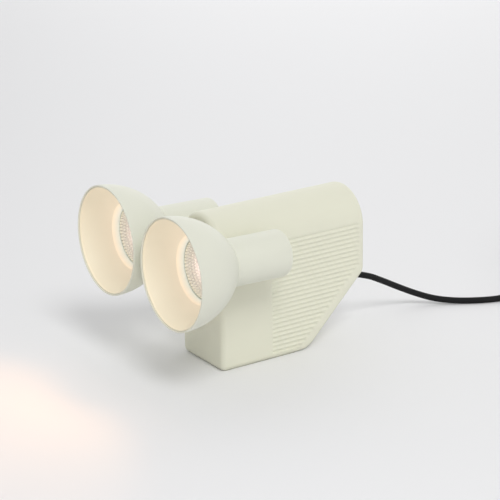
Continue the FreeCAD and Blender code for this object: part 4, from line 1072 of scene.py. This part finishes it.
def coil_route():
    """Control points of the coil, counter-clockwise from its rear: each turn keeps its radius
    and height and moves on to the next turn's in its last third. Above the lowest layer such a
    move climbs a little over the turns below."""
    per_turn = 16
    keeps = 0.66
    climb_share = 0.12
    second_layer = 4
    turns = np.array(COIL_TURNS)
    step = np.arange(len(turns) * per_turn) / per_turn
    turn = np.floor(step).astype(int)
    share = eased(np.clip((step - turn - keeps) / (1 - keeps), 0, 1))[:, None]
    now, following = turns[turn], turns[np.minimum(turn + 1, len(turns) - 1)]
    radius, height = (now * (1 - share) + following * share).T
    climb = np.abs(following[:, 0] - now[:, 0]) * (now[:, 1] > second_layer)
    height = height + climb_share * climb * np.sin(math.pi * share[:, 0])
    # The smooth line runs inside its control points.
    outwards = radius / math.cos(math.pi / per_turn)
    spot = COIL_MIDDLE + outwards[:, None] * spokes(math.pi / 2 + 2 * math.pi * step)
    return np.column_stack([spot, height])


def lead_line():
    """The cord from the slope to the switch."""
    return spline_line(LEAD_ROUTE)


def tail_line():
    """The cord from the switch through its coil to the plug."""
    return spline_line(np.concatenate([TAIL_ROUTE, coil_route(), [COIL_EXIT], END_ROUTE]))


def relief_mesh(cord):
    """Strain relief: a tapered sleeve with ring grooves, r = taper less a groove's bow."""
    straight, pitch, depth, play, rear = mm(6, 2.6, 0.55, 0.03, -8.5)
    first_ring, last_margin, cone, cone_long = mm(4.5, 2.2, 0.5, 0.3)
    root, tip = cord.gland_radius, cord.gland_tip
    travel = np.linspace(0, cord.gland_length, 90)
    share = (travel - straight) / (cord.gland_length - straight)
    taper = root + (tip - root) * np.clip(share, 0, 1)
    ringed = (travel > first_ring) & (travel < cord.gland_length - last_margin)
    bow = np.clip(np.sin(2 * math.pi * travel / pitch), 0, 1) ** 0.7
    skin = np.stack([taper - depth * bow * ringed, travel], 1)
    bore = cord.diameter / 2 + play
    end = cord.gland_length + cone_long
    mesh = lathe(traced((bore, rear), (root, rear), skin, (tip - cone, end), (bore, end)), 56)
    first, second = np.array(LEAD_ROUTE[:2]) * MM
    ahead = Vector(second - first).normalized()
    turn = Vector((0, 1, 0)).rotation_difference(ahead).to_matrix().to_4x4()
    mesh.transform(Matrix.Translation(Vector(first)) @ turn)
    return mesh


def switch_lower_mesh(cord):
    """Lower half of the cord switch: a block with rounded edges."""
    plan = partial(rounded_plan, cord.switch_width / 2, cord.switch_length / 2, SWITCH_CORNER)
    return moulded(plan, 0, cord.switch_low, low_round=2 * MM, high_round=0.3 * MM, steps=6)


def switch_upper_mesh(cord):
    """Upper half of the cord switch: a rounded block with a pocket for the rocker."""
    seam, chamfer, rim, mouth, deep, corner = mm(0.25, 0.3, 2.4, 0.5, 6.4, 1)
    low, high = cord.switch_low + seam, cord.switch_top
    plan = partial(rounded_plan, cord.switch_width / 2, cord.switch_length / 2, SWITCH_CORNER)
    pocket_x = cord.rocker_width / 2 + cord.rocker_gap
    pocket_y = cord.rocker_length / 2 + cord.rocker_gap
    over, down = quarter(7), quarter(4)
    loops = [plan(inset) for inset in (chamfer, 0, *rim * (1 - np.cos(over)))]
    for grow in (*mouth * (1 - np.sin(down)), 0):
        loops.append(rounded_plan(pocket_x, pocket_y, corner, -grow))
    levels = [low, low + chamfer, *high - rim * (1 - np.sin(over))]
    levels += [*high - mouth * (1 - np.cos(down)), high - deep]
    return stacked(loops, levels)


def rocker_mesh(cord):
    """Rocker: its side view, a shallow V over a round belly, drawn in towards both cheeks."""
    half, wide = cord.rocker_length / 2, cord.rocker_width / 2
    rise, proud, dip, edge = mm(2.8, 1.6, 0.6, 0.5)
    top, foot = rise + proud, rise - proud
    belly, face = half * 1.9, half * 3.2
    outline = traced(
        (-half, top),
        arc((-half, foot), (half, foot), belly, 1, 16),
        [(half, foot), (half, top)],
        arc((half, top), (0, rise + dip), face, -1, 8)[1:],
        (0, rise + dip),
        arc((0, rise + dip), (-half, top), face, -1, 8)[1:],
    )
    outline = softened(outline, edge)
    plan = drawn_to(outline.mean(0), outline, half)
    mesh = moulded(plan, -wide, wide, edge, edge, 5)
    # The block's levels run across the switch.
    mesh.transform(Matrix(((0, 0, 1, 0), (1, 0, 0, 0), (0, 1, 0, 0), (0, 0, 0, 1))))
    turn = Matrix.Rotation(-math.radians(ROCKER_REST), 4, "X")
    mesh.transform(Matrix.Translation(Vector(pivot("rocker"))) @ turn)
    return mesh


def plug_mesh(cord):
    """Plug: a plan that widens from the cord to the pins, drawn in along a quarter circle
    towards its two faces."""
    long, half, nose = cord.plug_length, cord.plug_width / 2, cord.diameter * 0.85
    waist, waist_at, shoulder = cord.plug_width * 0.26, -long * 0.45, -long * 0.64
    side, edge = long * 1.2, 3 * MM
    outline = traced(
        [(-long, -half), (shoulder, -half)],
        arc((waist_at, -waist), (0, -nose), side, -1, 10),
        (0, -nose),
        arc((0, nose), (waist_at, waist), side, -1, 10),
        [(waist_at, waist), (shoulder, half), (-long, half)],
    )
    middle = np.array([-long * 0.6, 0])
    plan = drawn_to(middle, softened(outline, edge, 5, 25), half)
    mesh = moulded(plan, 0, cord.plug_thick, edge, edge, 7)
    spot = Vector(END_ROUTE[-1]) * MM
    spot.z -= cord.plug_thick / 2
    mesh.transform(Matrix.Translation(spot))
    return mesh


def pin_outline(cord):
    """Pin of the plug, with a round nose."""
    sleeve, root = mm(0.25, -2)
    radius = cord.pin_radius - sleeve
    nose = radius * spokes(quarter(8))
    return traced((0, root), (radius, root), nose + [0, cord.pin_length - radius])


def sleeve_outline(cord):
    """Insulating sleeve round a pin's root."""
    root, edge = mm(-1, 0.3)
    wide, long = cord.pin_radius, cord.pin_length * 0.55
    return softened(traced((0, root), (wide, root), (wide, long), (0, long)), edge)


def pin_meshes(cord, outline):
    """An outline turned round the axis of each of the plug's pins."""
    meshes = []
    for end in (-1, 1):
        spot = Vector(END_ROUTE[-1]) * MM
        spot += Vector((-cord.plug_length, end * cord.pin_spacing / 2, 0))
        mesh = lathe(outline, 32)
        mesh.transform(Matrix.Translation(spot) @ Matrix.Rotation(math.pi / 2, 4, "Z"))
        meshes.append(mesh)
    return meshes


def tie_mesh():
    """Tie round the coil's bundle: a flat band whose ring follows a rounded box round the
    turns and is flat on the table. Millimetres, with the bundle's middle at (radius, height)."""
    radius, height = 30.0, 7.9
    half_wide, half_high, corner = 9.2, 8.3, 5.0
    band, thick, lowest, flat, mean_half = 4.0, 0.8, 0.4, 0.9, 9.0
    loop = rounded_plan(half_wide, half_high, corner, count=6)
    loop[:, 1] = np.maximum(loop[:, 1], lowest - height)
    rows = []
    for shift, grow in ((-band, 0), (-band, thick), (band, thick), (band, 0)):
        across, level = (loop * (1 + grow / mean_half)).T
        level = np.maximum(level + height, flat - grow)
        rows.append(np.stack([across + radius, 0 * across + shift, level], 1))
    mesh = grid_mesh(np.array(rows) * MM, True)
    middle = Matrix.Translation(Vector((*COIL_MIDDLE, 0)) * MM)
    mesh.transform(middle @ Matrix.Rotation(math.radians(TIE_ANGLE), 4, "Z"))
    return mesh


# ---- operators


class Builder(bpy.types.Operator):
    """One step of building the lamp."""

    bl_idname = "lamp.step"
    bl_label = "Build step"
    bl_options = {"REGISTER", "UNDO"}

    def execute(self, context):
        self.build(context.scene)
        return {"FINISHED"}

    def build(self, scene):
        raise NotImplementedError("a build step says what it builds")


class LAMP_OT_housing(Builder):
    """Build the housing's ribbed skin"""

    bl_idname = "lamp.housing"
    bl_label = "Housing"

    def build(self, scene):
        skin = housing_mesh(scene.lamp_housing)
        piece("housing", [skin], "housing_plastic", ["base_shell"], sharp=38)


class LAMP_OT_heads(Builder):
    """Build the two heads with their lamps"""

    bl_idname = "lamp.heads"
    bl_label = "Heads"

    def build(self, scene):
        for word, side in SIDES:
            build_head(scene.lamp_head, word, side)


class LAMP_OT_cord(Builder):
    """Build the mains cord with its strain relief, coil and tie"""

    bl_idname = "lamp.cord"
    bl_label = "Cord"

    def build(self, scene):
        cord = scene.lamp_cord
        for name, line, around, nodes in (
            ("mains_lead", lead_line(), 24, ["mains_cord"]),
            ("mains_tail", tail_line(), 16, ["cord_tail", "cord_coil", "cord_end"]),
        ):
            skin = swept(line, cord.diameter / 2, around)
            piece(name, [skin], "cord_cover", nodes, sharp=60, material="Cord cover")
        relief = ["cord_strain_relief"]
        piece("strain_relief", [relief_mesh(cord)], "relief_rubber", relief, sharp=50)
        piece("coil_tie", [tie_mesh()], "relief_rubber")


class LAMP_OT_switch(Builder):
    """Build the cord switch"""

    bl_idname = "lamp.switch"
    bl_label = "Cord switch"

    def build(self, scene):
        cord = scene.lamp_cord
        low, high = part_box("switch_lower")
        spot = Matrix.Translation(((low.x + high.x) / 2, (low.y + high.y) / 2, 0))
        lower, upper = switch_lower_mesh(cord), switch_upper_mesh(cord)
        lower.transform(spot)
        upper.transform(spot)
        piece("switch_base", [lower], "switch_plastic", ["switch_lower"])
        piece("switch_cover", [upper], "switch_plastic", ["switch_upper"])
        rocker = rocker_mesh(cord)
        piece("switch_key", [rocker], "rocker_plastic", ["switch_rocker"], "rocker")


class LAMP_OT_plug(Builder):
    """Build the mains plug"""

    bl_idname = "lamp.plug"
    bl_label = "Plug"

    def build(self, scene):
        cord = scene.lamp_cord
        piece("plug_shell", [plug_mesh(cord)], "plug_plastic", ["plug_body"])
        piece("plug_prongs", pin_meshes(cord, pin_outline(cord)), "pin_steel", ["plug_pins"])
        piece("plug_sleeves", pin_meshes(cord, sleeve_outline(cord)), "plug_plastic")


class LAMP_OT_declare(Builder):
    """Work out the lines of the two free cords, and keep nothing of them"""

    bl_idname = "lamp.declare"
    bl_label = "Declare cords"

    def build(self, scene):
        line = lead_line()
        line = tail_line()


class LAMP_OT_fixings(Builder):
    """Give every piece that stays as it is its finish"""

    bl_idname = "lamp.fixings"
    bl_label = "Fixings"

    def build(self, scene):
        slots = {part["node"]: part["material_slot"] for part in frame["record"]["subparts"]}
        for name, thing in frame["nodes"].items():
            thing.data.materials.clear()
            thing.data.materials.append(finish(FINISHES[slots[name]]))


class LAMP_OT_stage(Builder):
    """Set the floor, the lights and the camera"""

    bl_idname = "lamp.stage"
    bl_label = "Stage"

    def build(self, scene):
        stage = scene.lamp_stage
        size, drop = 14.0, 0.02 * MM
        edge = np.linspace(-size / 2, size / 2, 3)
        x, y = np.meshgrid(edge, edge)
        skin = grid_mesh(np.stack([x, y, 0 * x - drop], -1), wrap_columns=False)
        skin.flip_normals()
        skin.materials.append(finish("Floor with painted falloff"))
        placed("floor", skin)
        # Wide soft lights, the same all over the floor: where each stands and how wide it is.
        for name, strength, towards, spread in (
            ("key", stage.key, (1.0, -0.23, 1.24), 22),
            ("side", stage.fill, (1.0, -0.42, 0.4), 90),
            ("top", stage.top, (0.0, 0.0, 1.0), 110),
        ):
            data = bpy.data.lights.new(name, "SUN")
            data.energy = strength
            data.angle = math.radians(spread)
            lamp = placed(name, data)
            lamp.rotation_euler = Vector(towards).to_track_quat("Z", "Y").to_euler()
        self.lamps(scene, stage)
        scene.world = self.surroundings(stage)
        scene.view_settings.view_transform = "Standard"
        self.camera(scene, stage)

    def surroundings(self, stage):
        """White surroundings that get brighter towards the left and towards the rear."""
        world = bpy.data.worlds.new("studio")
        world.use_nodes = True
        tree = world.node_tree
        reckon = partial(maths, tree)
        towards = node(tree, "TexCoord").outputs["Generated"]
        across, along, _ = node(tree, "SeparateXYZ", {0: towards}).outputs
        left = reckon("MAXIMUM", reckon("MULTIPLY", across, -stage.left), 0.0)
        rear = reckon("MAXIMUM", reckon("MULTIPLY", along, stage.rear), 0.0)
        strength = reckon("ADD", reckon("ADD", left, rear), stage.world)
        white = (1.0, 1.0, 1.0, 1.0)
        feed(tree, tree.nodes["Background"], {"Color": white, "Strength": strength})
        return world

    def lamps(self, scene, stage):
        """The reflector lamps' light: a small ball that fills the bowl, a wide beam and a
        narrow one. A ball has no spread."""
        head, colours = scene.lamp_head, scene.lamp_finish
        before_glass, ball, wide_share = 6 * MM, 12 * MM, 0.62
        for word, side in SIDES:
            ahead = Matrix.Rotation(math.pi / 2, 4, "X").inverted()
            front = Matrix.Translation((0, HeadForm(head).face - before_glass, 0))
            for kind, spread, blend, power in (
                ("POINT", 0, 0, stage.spill),
                ("SPOT", 116, 0.5, stage.beam * wide_share),
                ("SPOT", 66, 0.8, stage.beam),
            ):
                data = bpy.data.lights.new(f"{word}_lamp_{spread}", kind)
                data.color = colours.beam if spread else colours.glow
                data.shadow_soft_size = ball
                data.energy = power
                if spread:
                    data.spot_size = math.radians(spread)
                    data.spot_blend = blend
                lamp = placed(data.name, data)
                lamp.matrix_world = head_place(head, word, side) @ front @ ahead
                lamp.visible_glossy = False
                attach(lamp, f"{word}_head")

    def camera(self, scene, stage):
        """The camera's turn: round Z, up from looking straight down, and about its view."""
        data = bpy.data.cameras.new("camera")
        data.lens = stage.lens
        data.sensor_width = 36.0
        data.clip_start = 0.01
        camera = placed("camera", data)
        turns = ((stage.azimuth, "Z"), (math.pi / 2 - stage.elevation, "X"), (stage.roll, "Z"))
        matrix = Matrix.Translation(stage.place)
        for turn, axis in turns:
            matrix = matrix @ Matrix.Rotation(turn, 4, axis)
        camera.matrix_world = matrix
        scene.camera = camera


class LAMP_PT_panel(bpy.types.Panel):
    """Lists the lamp's build steps"""

    bl_label = "Searchlight lamp"
    bl_idname = "LAMP_PT_panel"
    bl_space_type = "VIEW_3D"
    bl_region_type = "UI"
    bl_category = "Lamp"

    def draw(self, context):
        for step in STEPS:
            self.layout.operator(step.bl_idname)


GROUPS = {
    "lamp_housing": LampHousing,
    "lamp_head": LampHead,
    "lamp_cord": LampCord,
    "lamp_finish": LampFinish,
    "lamp_stage": LampStage,
}
STEPS = (
    LAMP_OT_fixings,
    LAMP_OT_housing,
    LAMP_OT_heads,
    LAMP_OT_cord,
    LAMP_OT_switch,
    LAMP_OT_plug,
    LAMP_OT_declare,
    LAMP_OT_stage,
)


def register():
    for name, group in GROUPS.items():
        bpy.utils.register_class(group)
        setattr(bpy.types.Scene, name, PointerProperty(type=group))
    for step in STEPS:
        bpy.utils.register_class(step)
    bpy.utils.register_class(LAMP_PT_panel)


def unregister():
    bpy.utils.unregister_class(LAMP_PT_panel)
    for step in reversed(STEPS):
        bpy.utils.unregister_class(step)
    for name, group in GROUPS.items():
        delattr(bpy.types.Scene, name)
        bpy.utils.unregister_class(group)


def main():
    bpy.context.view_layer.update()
    register()
    for step in STEPS:
        area, verb = step.bl_idname.split(".")
        getattr(getattr(bpy.ops, area), verb)()


if __name__ == "__main__":
    main()
